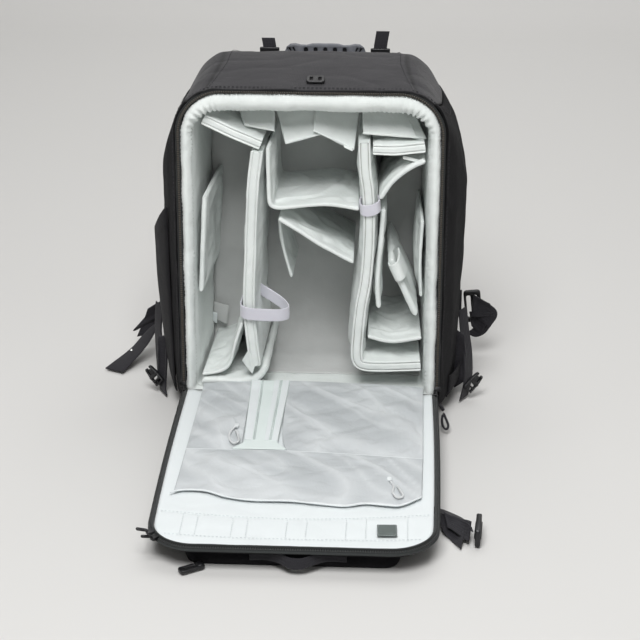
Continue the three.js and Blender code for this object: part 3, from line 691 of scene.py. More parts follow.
def shaded_material(name, roughness, sheen=0.0, specular=0.5, metallic=0.0, coat=0.0):
    """A new material, its shader and its tree; the values that are alike all over are set on the shader."""
    material = bpy.data.materials.new(name)
    material.use_nodes = True
    tree = material.node_tree
    shader = tree.nodes["Principled BSDF"]
    shader.inputs["Roughness"].default_value = roughness
    shader.inputs["Metallic"].default_value = metallic
    shader.inputs["Specular IOR Level"].default_value = specular
    shader.inputs["Sheen Weight"].default_value = sheen
    shader.inputs["Sheen Roughness"].default_value = 0.5
    shader.inputs["Coat Weight"].default_value = coat
    return material, shader, tree


def mixed(tree, factor, first, second, blend="MIX"):
    """Mixes two colours, each a socket or an RGB tuple."""
    made = node(tree, "ShaderNodeMix", data_type="RGBA", blend_type=blend)
    sockets = {"Factor": made.inputs[0], "A": made.inputs[6], "B": made.inputs[7]}
    for key, value in {"Factor": factor, "A": first, "B": second}.items():
        if isinstance(value, bpy.types.NodeSocket):
            tree.links.new(value, sockets[key])
        elif key == "Factor":
            sockets[key].default_value = value
        else:
            sockets[key].default_value = (*value, 1)
    return made.outputs[2]


def weave(tree, thread, rib=1.0):
    """Height of a plain weave from 0 to 1, its threads so many millimetres apart on the piece's UV map."""
    coords = node(tree, "ShaderNodeTexCoord").outputs["UV"]
    scale = math.tau / (20 * thread * MM)
    sets = [node(tree, "ShaderNodeTexWave", {"Vector": coords, "Scale": scale * size, "Distortion": 0.4,
                                             "Detail": 1.0, "Detail Scale": 1.0},
                 wave_type="BANDS", bands_direction=way, wave_profile="SIN").outputs["Fac"]
            for way, size in (("X", 1.0), ("Y", rib))]
    return node(tree, "ShaderNodeMath", {0: sets[0], 1: sets[1]}, operation="MULTIPLY").outputs[0]


def cloth(name, colour, dark_tone_and_gap_shade, thread, depth=0.25, roughness=0.85, sheen=0.15, mottle=0.12, rib=1.0,
          seam_and_highlight_colour=None, wrinkle=0.2, specular=0.35):
    """Woven or brushed cloth: thread spacing in millimetres, with soft uneven colour and shallow wrinkles."""
    material, shader, tree = shaded_material(name, roughness, sheen=sheen, specular=specular)
    place = node(tree, "ShaderNodeTexCoord").outputs["Object"]
    patches = node(tree, "ShaderNodeTexNoise", {"Vector": place, "Scale": 22.0, "Detail": 4.0,
                                                "Roughness": 0.6})
    fibres = node(tree, "ShaderNodeTexNoise", {"Vector": place, "Scale": 420.0, "Detail": 2.0})
    threads = weave(tree, thread, rib)
    spread = node(tree, "ShaderNodeMapRange", {"Value": patches.outputs["Fac"], "From Min": 0.3,
                                               "From Max": 0.7,
                                               "To Min": 0.0, "To Max": mottle})
    toned = mixed(tree, spread.outputs[0], colour, dark_tone_and_gap_shade)
    # Painted shade: the low parts of the weave, between the threads, are darkened towards the dark tone
    gaps = node(tree, "ShaderNodeMapRange", {"Value": threads, "From Min": 0.0, "From Max": 0.5,
                                             "To Min": 0.22, "To Max": 0.0})
    toned = mixed(tree, gaps.outputs[0], toned, dark_tone_and_gap_shade)
    # Seams take the seam colour; on the nets that colour is paler and paints highlights along the folds
    if seam_and_highlight_colour:
        seam = node(tree, "ShaderNodeAttribute", attribute_name="seam").outputs["Fac"]
        toned = mixed(tree, seam, toned, seam_and_highlight_colour)
    tree.links.new(toned, shader.inputs["Base Color"])
    raised = node(tree, "ShaderNodeMath", {0: threads, 1: 0.6}, operation="MULTIPLY").outputs[0]
    raised = node(tree, "ShaderNodeMath", {0: fibres.outputs["Fac"], 1: 0.4, 2: raised},
                  operation="MULTIPLY_ADD")
    fine = node(tree, "ShaderNodeBump", {"Height": raised.outputs[0], "Strength": depth, "Distance": 0.0006})
    ripples = node(tree, "ShaderNodeTexNoise", {"Vector": place, "Scale": 55.0, "Detail": 3.0,
                                                "Distortion": 0.6})
    broad = node(tree, "ShaderNodeBump", {"Height": ripples.outputs["Fac"], "Strength": wrinkle,
                                          "Distance": 0.003,
                                          "Normal": fine.outputs["Normal"]})
    tree.links.new(broad.outputs["Normal"], shader.inputs["Normal"])
    return material


def moulded(name, colour, roughness=0.45, grain=0.08, coat=0.0, metallic=0.0, worn=None):
    """Moulded plastic, rubber or painted metal: fine spark-eroded grain, slightly worn, lighter patches."""
    material, shader, tree = shaded_material(name, roughness, specular=0.5, metallic=metallic, coat=coat)
    place = node(tree, "ShaderNodeTexCoord").outputs["Object"]
    grains = node(tree, "ShaderNodeTexNoise", {"Vector": place, "Scale": 900.0, "Detail": 2.0})
    rubs = node(tree, "ShaderNodeTexNoise", {"Vector": place, "Scale": 70.0, "Detail": 4.0})
    amount = node(tree, "ShaderNodeMapRange", {"Value": rubs.outputs["Fac"], "From Min": 0.55,
                                               "From Max": 0.8,
                                               "To Min": 0.0, "To Max": 0.35})
    tree.links.new(mixed(tree, amount.outputs[0], colour, worn
                         or tuple(min(1, c * 1.8 + 0.01) for c in colour)),
                   shader.inputs["Base Color"])
    uneven = node(tree, "ShaderNodeMapRange", {"Value": rubs.outputs["Fac"], "From Min": 0.3, "From Max": 0.7,
                                               "To Min": roughness - 0.08, "To Max": roughness + 0.1})
    tree.links.new(uneven.outputs[0], shader.inputs["Roughness"])
    bump = node(tree, "ShaderNodeBump", {"Height": grains.outputs["Fac"], "Strength": grain,
                                         "Distance": 0.0003})
    tree.links.new(bump.outputs["Normal"], shader.inputs["Normal"])
    return material


FINISHES = {}


def make_finishes(colours):
    """Every cloth and moulding of the bag, by its slot."""
    # 600 denier nylon, coated inside: matt charcoal with a tight grain; drawn at 1.6 mm so that it shows
    FINISHES["shell_fabric"] = cloth("charcoal_nylon", colours.shell, linear("121214"), 1.6, depth=0.7,
                                     sheen=0.02, mottle=0.3, seam_and_highlight_colour=linear("0a0a0c"), wrinkle=0.4,
                                     specular=0.18,
                                     roughness=0.92)
    # A paler copy of the same nylon for the top, with painted light: the top faces the lamps and catches
    # their sheen
    FINISHES["shell_top"] = cloth("charcoal_nylon_painted_light", linear("343336"), linear("222124"), 1.6, depth=0.7,
                                  sheen=0.12, mottle=0.35, seam_and_highlight_colour=linear("121214"), wrinkle=0.4)
    # Stretch knit of the side pockets: darker and smoother than the shell
    FINISHES["stretch_fabric"] = cloth("stretch_knit", linear("18171a"), linear("101013"), 1.1, depth=0.4,
                                       sheen=0.04, specular=0.2, seam_and_highlight_colour=linear("0a0a0c"))
    # Brushed polyester over foam: loops catch light softly and take hook tape
    FINISHES["lining_fabric"] = cloth("brushed_polyester", colours.lining, linear("cbd2cf"), 1.3, depth=0.16,
                                      roughness=0.95, sheen=0.12, mottle=0.4, seam_and_highlight_colour=linear("5f5a52"),
                                      wrinkle=0.42)
    # The same cloth in grey on the stiff back panel
    FINISHES["back_panel_fabric"] = cloth("grey_brushed_polyester", colours.back_panel, linear("b3b5b3"), 1.3,
                                          depth=0.16, roughness=0.95, sheen=0.2, mottle=0.4)
    # Hook-and-loop strap of the divider loops: faintly lavender
    FINISHES["loop_fabric"] = cloth("loop_strap", linear("d6d5dd"), linear("bab9c4"), 1.0, depth=0.2,
                                    roughness=0.95, sheen=0.3, mottle=0.25)
    # Plain woven polyester, near white, with a faint sheen
    FINISHES["lid_lining"] = cloth("white_polyester", colours.lid, linear("d6dcdd"), 1.0, depth=0.1,
                                   roughness=0.7, sheen=0.2, mottle=0.3, seam_and_highlight_colour=linear("b9bfc2"),
                                   wrinkle=0.15)
    # Fine warp-knit net over the white lining: the holes read as a soft grey; its pale seam colour paints
    # highlights along the folds and colours the front pocket's hem
    FINISHES["mesh_fabric"] = cloth("pocket_net", colours.mesh, linear("a8adb0"), 1.5, depth=0.35,
                                    roughness=0.75, sheen=0.1, mottle=0.3, seam_and_highlight_colour=linear("eceff0"),
                                    wrinkle=0.35)
    # Woven tape with the zip's coil
    FINISHES["binding_tape"] = cloth("zip_tape", linear("363939"), linear("232626"), 1.2, depth=0.5,
                                     sheen=0.1, rib=0.4, seam_and_highlight_colour=linear("1b1c1c"))
    # Polypropylene webbing: coarse ribs across its width
    FINISHES["webbing"] = cloth("black_webbing", linear("252429"), linear("131216"), 1.8, depth=0.8,
                                roughness=0.75, sheen=0.1, rib=0.5, seam_and_highlight_colour=linear("0e0e10"))
    # Padded nylon of the harness
    FINISHES["harness_fabric"] = cloth("harness_nylon", linear("28272c"), linear("18171b"), 2.2, depth=0.6,
                                       sheen=0.15, mottle=0.3, seam_and_highlight_colour=linear("0f0f11"))
    # Acetal buckles: satin black, with a fine grain from the mould
    FINISHES["buckle_plastic"] = moulded("black_acetal", linear("18181a"), roughness=0.4)
    # Moulded rubber of the carry handle, blue-grey
    FINISHES["handle_rubber"] = moulded("grey_rubber", linear("66686e"), roughness=0.6, grain=0.2)
    # Braided polyester cord
    FINISHES["cord"] = cloth("white_cord", linear("f4f6f6"), linear("cfd4d6"), 0.8, depth=0.8, sheen=0.1)
    # Sewing thread of the white lining: a little darker than its cloth, so that a seam shows
    FINISHES["thread"] = moulded("white_thread", linear("c9cfd2"), roughness=0.7)
    FINISHES["dark_thread"] = moulded("charcoal_thread", linear("2a292d"), roughness=0.7)
    # Nylon coil of the zips: dark round the front panel, brownish round the opening, pale on the net pockets
    FINISHES["coil"] = moulded("dark_nylon_coil", linear("2e3030"), roughness=0.4)
    FINISHES["brown_coil"] = moulded("brown_nylon_coil", linear("4a433b"), roughness=0.4)
    FINISHES["pale_coil"] = moulded("pale_nylon_coil", linear("c3ccca"), roughness=0.4)
    # Zinc sliders under white paint
    FINISHES["white_paint"] = moulded("white_painted_zinc", linear("e9edee"), roughness=0.35, coat=0.2,
                                      worn=linear("b9bdbf"))
    # Bare steel of the rivet
    FINISHES["steel"] = moulded("plain_steel", linear("a8a8a6"), roughness=0.3, metallic=1.0)
    # The zip band: the same white cloth, faintly green beside the net
    FINISHES["band_cloth"] = cloth("band_polyester", linear("dfe8e6"), linear("cfd9d6"), 1.0, depth=0.12,
                                   roughness=0.75, mottle=0.3, wrinkle=0.15)
    # Zinc sliders under black paint
    FINISHES["zip_metal"] = moulded("painted_zinc", linear("1c1c1e"), roughness=0.35, metallic=0.6, coat=0.2,
                                    worn=linear("77777a"))
    # Soft moulded patch, plain
    FINISHES["label_patch"] = moulded("plain_patch", linear("5c6462"), roughness=0.65, grain=0.15)


# Pieces

def shell_relief(seed, strength=1.0):
    """Shallow dents and folds of the outer cloth, strongest away from the seams."""
    def relief(i, j, co):
        soft = 1.5 * folds(co, (70, 60, 60), seed) + 0.6 * folds(co, (24, 30, 18), seed + 1)
        return strength * (soft - 1.1 * crease(co, (60, 36, 120), seed + 2))
    return relief


def make_shell():
    """The outer bag: its cloth over the top, the sides, the base and the back, and the sill."""
    depth_rows = 60
    top_columns = 96
    top_seam = 38
    flank_columns = 110
    base_columns = 20
    reach = 5 - SHOULDER_SEAM

    def depth(j):
        return FRONT_Y + (BACK_Y - FRONT_Y) * j / depth_rows

    def top(i, j):
        across = (i / top_columns - 0.5) * 2 * reach
        side = -1 if across < 0 else 1
        return leaned(body_point(side, 5 - abs(across), depth(j)))

    def seam_shade(count, width):
        return lambda i, j: 1.0 if min(i, count - i) < width or min(j, depth_rows - j) < 1 else 0.0

    # Two seams run back over the top, beside its middle panel
    def top_relief(i, j, co):
        return shell_relief(1, 0.8)(i, j, co) - 1.1 * smooth_step(1.6, 0,
                                                                  abs(abs(i - top_columns // 2) - top_seam))

    def top_shade(i, j):
        return max(seam_shade(top_columns, 1)(i, j), 1.0 if abs(i - top_columns // 2) == top_seam else 0.0)
    # The top panel takes the paler copy of the nylon, so light is painted into its colour
    add_piece("shell_top_cloth", laid_grid(top_columns, depth_rows, top, relief=top_relief,
                                           shade=top_shade), "shell_top", ["shell_top"],
              slot="shell_fabric", wall=WALL, levels=1)
    for name, side in (("left", -1), ("right", 1)):
        def flank(i, j, side=side):
            start, end = 1.012, SHOULDER_SEAM - 0.006
            return leaned(body_point(side, start + (end - start) * i / flank_columns, depth(j)))
        shape = laid_grid(flank_columns, depth_rows, flank, relief=shell_relief(3 + side),
                          shade=seam_shade(flank_columns, 1))
        add_piece(f"shell_{name}_cloth", shape, "shell_fabric", [f"shell_{name}"], wall=WALL, levels=1)

    def base(i, j):
        form = body_section(depth(j))
        return leaned(Vector(((i / base_columns - 0.5) * 2 * (form.half - form.taper - BASE_RADIUS),
                              depth(j), WALL / 2)))
    add_piece("shell_base_cloth", laid_grid(base_columns, depth_rows, base), "shell_fabric", ["shell_base"],
              wall=WALL)
    walk = [5 * k / 60 for k in range(61)]
    ring = [body_point(1, s, BACK_Y) for s in walk] + [body_point(-1, s, BACK_Y)
                                                       for s in reversed(walk[1:-1])]
    make_upright_plate("shell_back_cloth", ring, (SHELL_BACK_Y + OUTER_BACK_Y) / 2, "shell_back")
    corners = round_outline(BODY[0].half, 0.5, HINGE_Z - 3, 4, BASE_RADIUS)
    spots = [outline_spot(corners, station)[0] for station in outline_stations(corners, 8)]
    ring = [Vector((spot.x, 0, spot.y)) for spot in spots]
    make_upright_plate("front_sill_cloth", ring, FRONT_Y - 2.5 - WALL / 2, "front_sill")


def make_upright_plate(name, ring, y, node_name):
    """A flat upright panel from its outline, made of rings that shrink to its middle."""
    middle = sum(ring, Vector()) / len(ring)
    rings = 10

    def place(i, j):
        spot = ring[i % len(ring)].lerp(middle, 0.999 * j / rings)
        return leaned(Vector((spot.x, y, spot.z)))
    shape = laid_grid(len(ring), rings, place, wrap=True)
    close_holes(shape, 2)
    add_piece(name, shape, "shell_fabric", [node_name], wall=WALL, bevel=0.8)


def lining_corners(y, out=0.0):
    """The corners of the padded inside at depth y, or of an outline some way outside it."""
    t = max(0, (y - FRONT_Y) / (LINING_BACK_Y - FRONT_Y))
    radius = LINING_RADIUS + (LINING_BACK_RADIUS - LINING_RADIUS) * t
    return round_outline(LINING_HALF - LINING_BACK_IN * t + out, LINING_BOTTOM - out,
                         LINING_TOP - LINING_BACK_DOWN * t + out, radius + out, LINING_BASE_RADIUS + out)


def make_lining(sizes):
    """The ring of padded walls with its rolled, puckered rim."""
    profile = Track([(0, LINING_BACK_Y, 0), (0, -20, 0), (0, -80, 0), (0.4, FRONT_Y + 5, 0), (3, FRONT_Y, 0),
                     (8, FRONT_Y - 2.4, 0), (13, FRONT_Y + 0.5, 0), (16.2, FRONT_Y + 6, 0),
                     (15.4, FRONT_Y + 11, 0),
                     (13.2, FRONT_Y + 14, 0), (13.8, FRONT_Y + 22, 0), (LINING_WALL, 0, 0),
                     (LINING_WALL, LINING_BACK_Y, 0)])
    shares = [0, 0.2, 0.33] + [0.4 + 0.18 * k / 22 for k in range(23)]
    shares += [0.595, 0.61, 0.63, 0.66, 0.7, 0.75, 0.8, 0.85, 0.9, 0.95, 1]
    front = lining_corners(FRONT_Y)
    stations = outline_stations(front, 1.15)
    spots = [profile.at(share) for share in shares]
    around = [0.0]
    for a, b in zip(stations, stations[1:]):
        around.append(around[-1] + (outline_spot(front, b)[0] - outline_spot(front, a)[0]).length)

    def upright(station):
        """How far a stop is on one of the two sides, where the roll is narrower, from 0 to 1."""
        return abs(outline_spot(front, station)[1].x)**3

    def place(i, j):
        inward, y = spots[j].x, spots[j].y
        station = stations[i % len(stations)]
        if y < FRONT_Y + 24:
            ease = smooth_step(FRONT_Y + 24, FRONT_Y + 12, y)
            inward *= 1 - 0.22 * upright(station) * ease
            inward *= 1 + 0.34 * max(0, outline_spot(front, station)[1].y)**2 * ease
        spot, out = outline_spot(lining_corners(y), station)
        spot = spot - out * inward
        return leaned(Vector((spot.x, y, spot.y)))

    def relief(i, j, co):
        inward, y = spots[j].x, spots[j].y
        s = around[i % len(stations)]
        on_rim = smooth_step(FRONT_Y + 18, FRONT_Y + 8, y)
        corner, arc, straight = stations[i % len(stations)]
        wander = 2.4 * folds(co, (34, 34, 34), 4)
        fine = math.sin(math.tau * (s + inward * 1.1) / 5.0 + wander) + 0.5 * math.sin(math.tau * s / 3.1
                                                                                       - wander)
        height = sizes.rim_pucker / MM * fine * (0.5 + 0.5 * abs(inward - 8) / 8)
        height *= 0.7 + 0.9 * folds(co, (40, 40, 40), 5)
        if corner < 2 and not straight:
            gather = math.sin(math.pi * arc) * smooth_step(4, 14, inward)
            height += 1.5 * gather * math.sin(math.tau * s / 9.5 + 3 * folds(co, (20, 20, 20), 6))
        height += 1.6 * folds(co, (36, 36, 36), 7) + 0.7 * folds(co, (11, 11, 11), 17)
        wall = smooth_step(FRONT_Y + 14, FRONT_Y + 34, y) * smooth_step(10, 13, inward)
        return on_rim * height + wall * (1.2 * folds(co, (60, 40, 60), 8) - 1.2 * crease(co, (70, 46, 60),
                                                                                         18))

    def shade(i, j):
        return 0.35 if abs(spots[j].y - (FRONT_Y + 14)) < 1.2 and spots[j].x > 8 else 0.0
    shape = laid_grid(len(stations), len(spots) - 1, place, wrap=True, relief=relief, shade=shade)
    rim = add_piece("lining_rim_cloth", shape, "lining_fabric", ["lining_rim"])

    end = lining_corners(LINING_BACK_Y)
    back_stations = outline_stations(end, 8)
    middle = Vector((0, (LINING_BOTTOM + LINING_TOP) / 2))

    def panel(i, j):
        spot = outline_spot(end, back_stations[i % len(back_stations)])[0].lerp(middle, 0.999 * j / 24)
        return leaned(Vector((spot.x, LINING_BACK_Y + 3, spot.y)))
    shape = laid_grid(len(back_stations), 24, panel, wrap=True)
    close_holes(shape, 2)
    add_piece("lining_back_board", shape, "back_panel_fabric", ["lining_back"], wall=5)

    # The grey cloth hangs over the back board and runs out over the floor in a soft bend
    half = LINING_HALF - LINING_WALL - LINING_BACK_IN - 0.5
    columns, rows = 70, 90
    bend_row = 70
    radius = 40
    down = Track([(0, 60.5, 372), (0, 60.5, 200), (0, 60, 76), (0, 57, 54), (0, 48, 40), (0, 34, 34.6),
                  (0, 8, 34),
                  (0, -38, 33.8)])

    def drape(i, j):
        p = down.at(j / rows)
        edge = min(p.z, 372) - 372 + radius
        reach = half - max(0, radius - math.sqrt(max(0, radius**2 - max(0, edge)**2)))
        reach += 6 * smooth_step(60, -40, p.y) * (j > bend_row)
        return leaned(Vector(((2 * i / columns - 1) * reach, p.y, p.z)))

    def rumple(i, j, co):
        edge = smooth_step(0, 5, min(i, columns - i, j, rows - j))
        return -edge * (1.6 * folds(co, (60, 60, 80), 9) + 2.0 * crease(co, (90, 60, 90), 19))
    shape = laid_grid(columns, rows, drape, relief=rumple)
    add_piece("lining_back_cloth", shape, "back_panel_fabric", wall=0.8)

    # The care tag hangs out of the seam beside the back board and is left blank
    tag = [Vector((-131, 50, 90)), Vector((-111.5, 46, 86.5)), Vector((-131, 50, 66)),
           Vector((-113.5, 45, 60.5))]

    def leaf(i, j):
        p = spread(tag, i / 8, j / 10)
        p.y -= 1.6 * math.sin(math.pi * j / 10) + 1.2 * math.sin(2.6 * i / 8)
        return leaned(p)
    shape = laid_grid(8, 10, leaf, shade=lambda i, j: 0.5 if j == 5 else 0.0)
    add_piece("care_tag", shape, "back_panel_fabric", wall=0.4)
    small = [Vector((-132, 47, 77)), Vector((-126, 45, 76)), Vector((-132, 47, 63)), Vector((-126.5, 45, 62))]
    shape = laid_grid(3, 6, lambda i, j: leaned(spread(small, i / 3, j / 6)))
    add_piece("care_tag_end", shape, "lid_lining", wall=0.4)


Board = namedtuple("Board", "name thick front path boxed swell seam", defaults=(0.45,))
BOARDS = [
    Board("divider_left", 14, DIVIDER_FRONT_Y,
          [(-62.5, 333), (-67, 298), (-70, 249), (-72, 199), (-74, 148), (-72, 110), (-67, 64)], True, 1.0),
    Board("divider_right", 14, DIVIDER_FRONT_Y,
          [(62.5, 346), (64, 312), (68, 282), (69, 227), (66, 177), (60, 139), (57, 104), (56, 83), (57, 73),
           (60.5, 68.3), (68, 66.6), (84, 66.4), (108, 67.2), (133.5, 69)], True, 0.8, 0.9),
    Board("divider_top_left", 13, DIVIDER_FRONT_Y + 2, [(-125, 371), (-94, 356), (-58, 341)], True, 1.0),
    Board("divider_top_right", 13, DIVIDER_FRONT_Y + 3, [(72.5, 337), (100, 337), (133.5, 341)], True, 1.0),
    Board("shelf_centre_upper", 5, DIVIDER_FRONT_Y,
          [(-50, 338), (-49.5, 300), (-48.5, 274), (-47, 267.5), (-42, 265), (-34, 264.8), (-12, 267.5),
           (23, 270),
           (57, 265)], False, 0.6),
    Board("shelf_centre_lower", 5, DIVIDER_FRONT_Y + 4,
          [(-38, 250), (-12, 234), (11, 219), (29, 209), (51, 197)], False, 0.6),
    Board("flap_centre", 4, -40, [(-41, 236), (-36, 200), (-26, 162)], False, 0.5),
    Board("divider_right_curved", 6, DIVIDER_FRONT_Y + 4,
          [(134, 324), (116, 315), (95, 297), (82, 277)], False, 0.5),
    Board("divider_right_slanted", 8, DIVIDER_FRONT_Y + 6, [(95, 202), (108, 172), (127, 131)], False, 0.5),
    Board("flap_right", 6, DIVIDER_FRONT_Y + 10, [(86, 262), (84, 225), (80, 172), (82, 138)], False, 0.6),
    Board("shelf_right_lower", 5, DIVIDER_FRONT_Y + 4, [(69, 103), (97, 97), (134, 103)], False, 0.5),
    Board("pad_left", 6, DIVIDER_FRONT_Y + 6, [(-126, 276), (-129, 221), (-132.5, 156)], False, 0.5),
    Board("pad_right", 4, DIVIDER_FRONT_Y + 20, [(133, 246), (131, 190), (133, 150)], False, 0.4),
    Board("shelf_left_lower", 4, DIVIDER_FRONT_Y + 3,
          [(-132.5, 50), (-118, 52), (-104, 58), (-98, 66), (-94, 82), (-89, 100), (-83, 118)], False, 0.6),
    Board("divider_left_foot", 9, DIVIDER_FRONT_Y,
          [(-133, 41.7), (-104, 41.7), (-80, 42.5), (-64, 48), (-53, 64)], False, 0.6),
]


def make_boards(sizes):
    """Dividers, shelves and flaps that run from the opening back to the grey panel."""
    for number, board in enumerate(BOARDS):
        track = Track([(x, 0, z) for x, z in board.path])
        depth = DIVIDER_BACK_Y - board.front

        def middle(u, w, track=track, board=board, depth=depth):
            p = track.at(u)
            p.y = board.front + w * depth
            return leaned(inside_taper(p))

        def relief(u, w, height, co, board=board, number=number):
            flat = smooth_step(0.03, 0.2, w) * smooth_step(0, 0.1, u) * smooth_step(1, 0.9, u)
            crown = sizes.foam_crown / MM * board.swell * math.sin(math.pi * min(max(w, 0), 1)) * flat
            soft = 1.3 * folds(co, (44, 40, 34), number) + 0.5 * folds(co, (15, 26, 12), number + 30)
            soft = board.swell * flat * (soft - 1.3 * crease(co, (50, 60, 36), number + 60))
            if not board.boxed:
                edge = 0.5 * folds(co, (16, 16, 16), number + 80) * smooth_step(0.1, 0, w)
                return crown * 0.3 + soft * 0.8 + edge
            front = smooth_step(0.05, 0.0, w)
            diagonal = math.sin(math.tau * (co.x * 0.8 + co.z) / 12 + 2.5 * folds(co, (30, 30, 30), number))
            band = front * smooth_step(board.thick / 2 - 2.4, board.thick / 2 - 4.2, abs(height))
            roll = front * smooth_step(board.thick / 2 - 2.6, board.thick / 2 - 1.6, abs(height))
            wander = 0.7 * folds(co, (26, 26, 26), number + 90) * front
            fine = 0.16 * math.sin(math.tau * (co.x + co.z) / 4.6) * roll
            return crown + soft + 0.42 * diagonal * band * (0.4
                                                            + abs(folds(co, (50, 50, 50),
                                                                        number + 3))) + wander + fine

        def shade(u, w, height, board=board):
            if not board.boxed:
                return 0.0
            return board.seam if w < 0.012 and abs(abs(height) - (board.thick / 2 - 2.7)) < 0.3 else 0.0

        def pin(u, w, height, board=board):
            edge = max(smooth_step(0.1, 0.05, w), smooth_step(0.93, 0.97, w))
            return max(edge, smooth_step(0.06, 0.02, u), smooth_step(0.94, 0.98, u))
        half = board.thick / 2
        front = boxed_edge(half) if board.boxed else round_edge(half)
        ends = boxed_end() if board.boxed else None
        shape = slab(middle, track.length, depth, half, front=front, ends=ends, step=4.5, relief=relief,
                     shade=shade,
                     pin=pin)
        pad = add_piece(f"{board.name}_pad", shape, "lining_fabric", [board.name], levels=1)
        puff(pad, 2.5 if board.boxed else 0.8, 0.03, 3.0)


Flap = namedtuple("Flap", "name left right tip_left tip_right")
TOP_FLAPS = [
    Flap("top_flap_1", -104, -50, (-78, -70, 359), (-42, -70, 352)),
    Flap("top_flap_2", -56, 10, (-30, -70, 337), (14, -70, 350)),
    Flap("top_flap_3", 6, 60, (2, -74, 355), (50, -70, 331)),
    Flap("top_flap_4", 58, 98, (60, -76, 353), (124, -74, 348)),
    Flap("top_flap_5", 66, 108, (62, -66, 349), (134, -64, 344)),
]


def make_top_flaps():
    """Fastening flaps that hang from the top wall."""
    ceiling = LINING_TOP - LINING_WALL - 2.8
    for number, flap in enumerate(TOP_FLAPS):
        def edge(x, tip, u):
            back = inside_taper(Vector((x, 50, ceiling)))
            bend = inside_taper(Vector((x, 0, ceiling)))
            if u < 0.3:
                return back.lerp(bend, u / 0.3)
            t = (u - 0.3) / 0.7
            p = bend.lerp(Vector(tip), t)
            p.z += 10 * math.sin(math.pi * t) * (1 - t)
            return p

        def middle(u, w, flap=flap):
            return leaned(edge(flap.right, flap.tip_right, u).lerp(edge(flap.left, flap.tip_left, u), w))

        def relief(u, w, height, co, number=number):
            return 0.9 * folds(co, (26, 26, 26), number + 50) - 0.8 * crease(co, (40, 40, 30), number + 55)
        shape = slab(middle, 130, 48, 1.75, step=4, relief=relief)
        node_names = [flap.name] if flap.name in frame["nodes"] else []
        add_piece(f"{flap.name}_cloth", shape, "lining_fabric", node_names, levels=1)


def wrap_strap(name, centre, along, points, width, node_names, finish="loop_fabric", half=0.9):
    """A strap round a board's front edge: points are sideways, depth and rise from its centre."""
    lengthwise = Vector((along[0], 0, along[1])).normalized()
    sideways = Vector((lengthwise.z, 0, -lengthwise.x))
    start = Vector((centre[0], 0, centre[1]))
    track = Track([start + sideways * x + Vector((0, y, 0)) + lengthwise * rise for x, y, rise in points])

    def middle(u, w):
        return leaned(track.at(u) + lengthwise * ((0.5 - w) * width))
    shape = slab(middle, track.length, width, half, step=2.5,
                 relief=lambda u, w, height, co: 0.3 * folds(co, (12, 12, 12), 60))
    add_piece(f"{name}_strap", shape, finish, node_names, levels=1)


def make_divider_loops():
    """Straps that wrap the front edges of the dividers."""
    wrap_strap("divider_loop_left", (0, 134.5), (0, 1),
               [(-82.6, -58, 3), (-83.4, -84, 0.5), (-77, -91, -0.5), (-56, -93.5, -1), (-36, -91, -2),
                (-26.5, -82, -2.5),
                (-31, -68, 0), (-44, -56, 5), (-56, -48, 9), (-64.5, -43, 12)], 15.5, ["divider_loop_left"])
    wrap_strap("divider_loop_right", (0, 259.5), (-0.1, 1),
               [(59.5, -62, 1), (59, -84, 0), (62, -88.5, -1.5), (70, -89.6, -2), (78, -88.6, 0),
                (81.5, -82, 1),
                (80, -66, 2)], 14, ["divider_loop_right"])
    wrap_strap("slanted_loop", (102.5, 187), (-0.41, 0.91),
               [(-5.6, -56, 0), (-5.8, -78, 0), (-4.5, -83.5, 0), (0, -86, 0), (4.5, -84, 0),
                (6.4, -76, 0.5), (7.6, -60, 1),
                (6.2, -40, 1)], 23, [], finish="lining_fabric", half=1.2)
    # A small flared flap at the left divider's foot, and short ends of fastening tape
    leaves = [
        ("foot_flap", [(-74, -84, 86), (-67, -86, 64), (-84, -80, 68), (-70.5, -88, 54)], 1.4),
        ("tape_end_right", [(107, -76, 327.5), (128, -76, 322.5), (107, -78, 324), (128, -78, 319.5)], 1.6),
        ("tape_end_centre", [(37.5, -70, 338.5), (48, -70, 334), (38.5, -73, 335), (48.5, -73, 330.5)], 1.2),
    ]
    for number, (name, corners, wall) in enumerate(leaves):
        spots = [Vector(corner) for corner in corners]
        shape = laid_grid(8, 8, lambda i, j: leaned(spread(spots, i / 8, j / 8)),
                          relief=lambda i, j, co: 0.8 * folds(co, (12, 12, 12), number + 64))
        add_piece(name, shape, "lining_fabric", wall=wall, levels=1)


def make_side_pockets():
    """Stretch pockets that swell from the side walls and are open along their top hems."""
    steps = 50
    hem = 46
    rows = [("left", -1, 1.75, 2.78, 10, 1.3), ("right", 1, 1.75, 2.06, 6, 1.5)]
    for name, side, start, end, swell, slow in rows:
        def place(i, j, side=side, start=start, end=end, swell=swell, slow=slow):
            u, v = i / steps, j / steps
            w = 1 - v if side > 0 else v
            p = body_point(side, start + u * (end - start), -66 + w * 132)
            rise = max(math.sin(math.pi * v), 0)**0.6
            p.x += side * (WALL + 0.4 + swell * rise * math.sin(min(1, u * slow) * math.pi / 2))
            return leaned(p)
        shape = laid_grid(steps, steps, place, relief=lambda i, j, co: 0.7 * folds(co, (30, 24, 40), 70),
                          shade=lambda i, j: 0.8 if i == hem else 0.0)
        add_piece(f"pocket_{name}_cloth", shape, "stretch_fabric", [f"pocket_{name}"], wall=2, levels=1)


def lid_half(y, inset=0.0):
    """Half the front panel's width at local depth y, rounded at the two front corners."""
    radius = LID_RADIUS - inset
    past = -y - (LID_END - inset - radius)
    narrow = radius - math.sqrt(max(radius * radius - max(past, 0)**2, 0))
    return LID_HALF - inset - narrow


def lid_rows(start, end, radius, spacing):
    """Depths across the front panel, closer together in its rounded front corners."""
    straight = end - radius - start
    steps = round(straight / spacing)
    rows = [start + straight * k / steps for k in range(steps)]
    return rows + [end - radius + radius * math.sin(math.pi / 2 * k / 14) for k in range(15)]


def lid_bow(y):
    """The front panel's sides bow out a little between its ends."""
    return 2 * math.sin(math.pi * min(max(-y, 0), LID_END) / LID_END)


QUILT_SEAMS = [-119, -103, -65, -49, -7, 14, 56, 77, 121]


def cross_seam(x):
    """Depth of the long seam across the front of the lining."""
    return -292 - 14 * math.cos(math.pi * x / 300) + 2 * x / 150


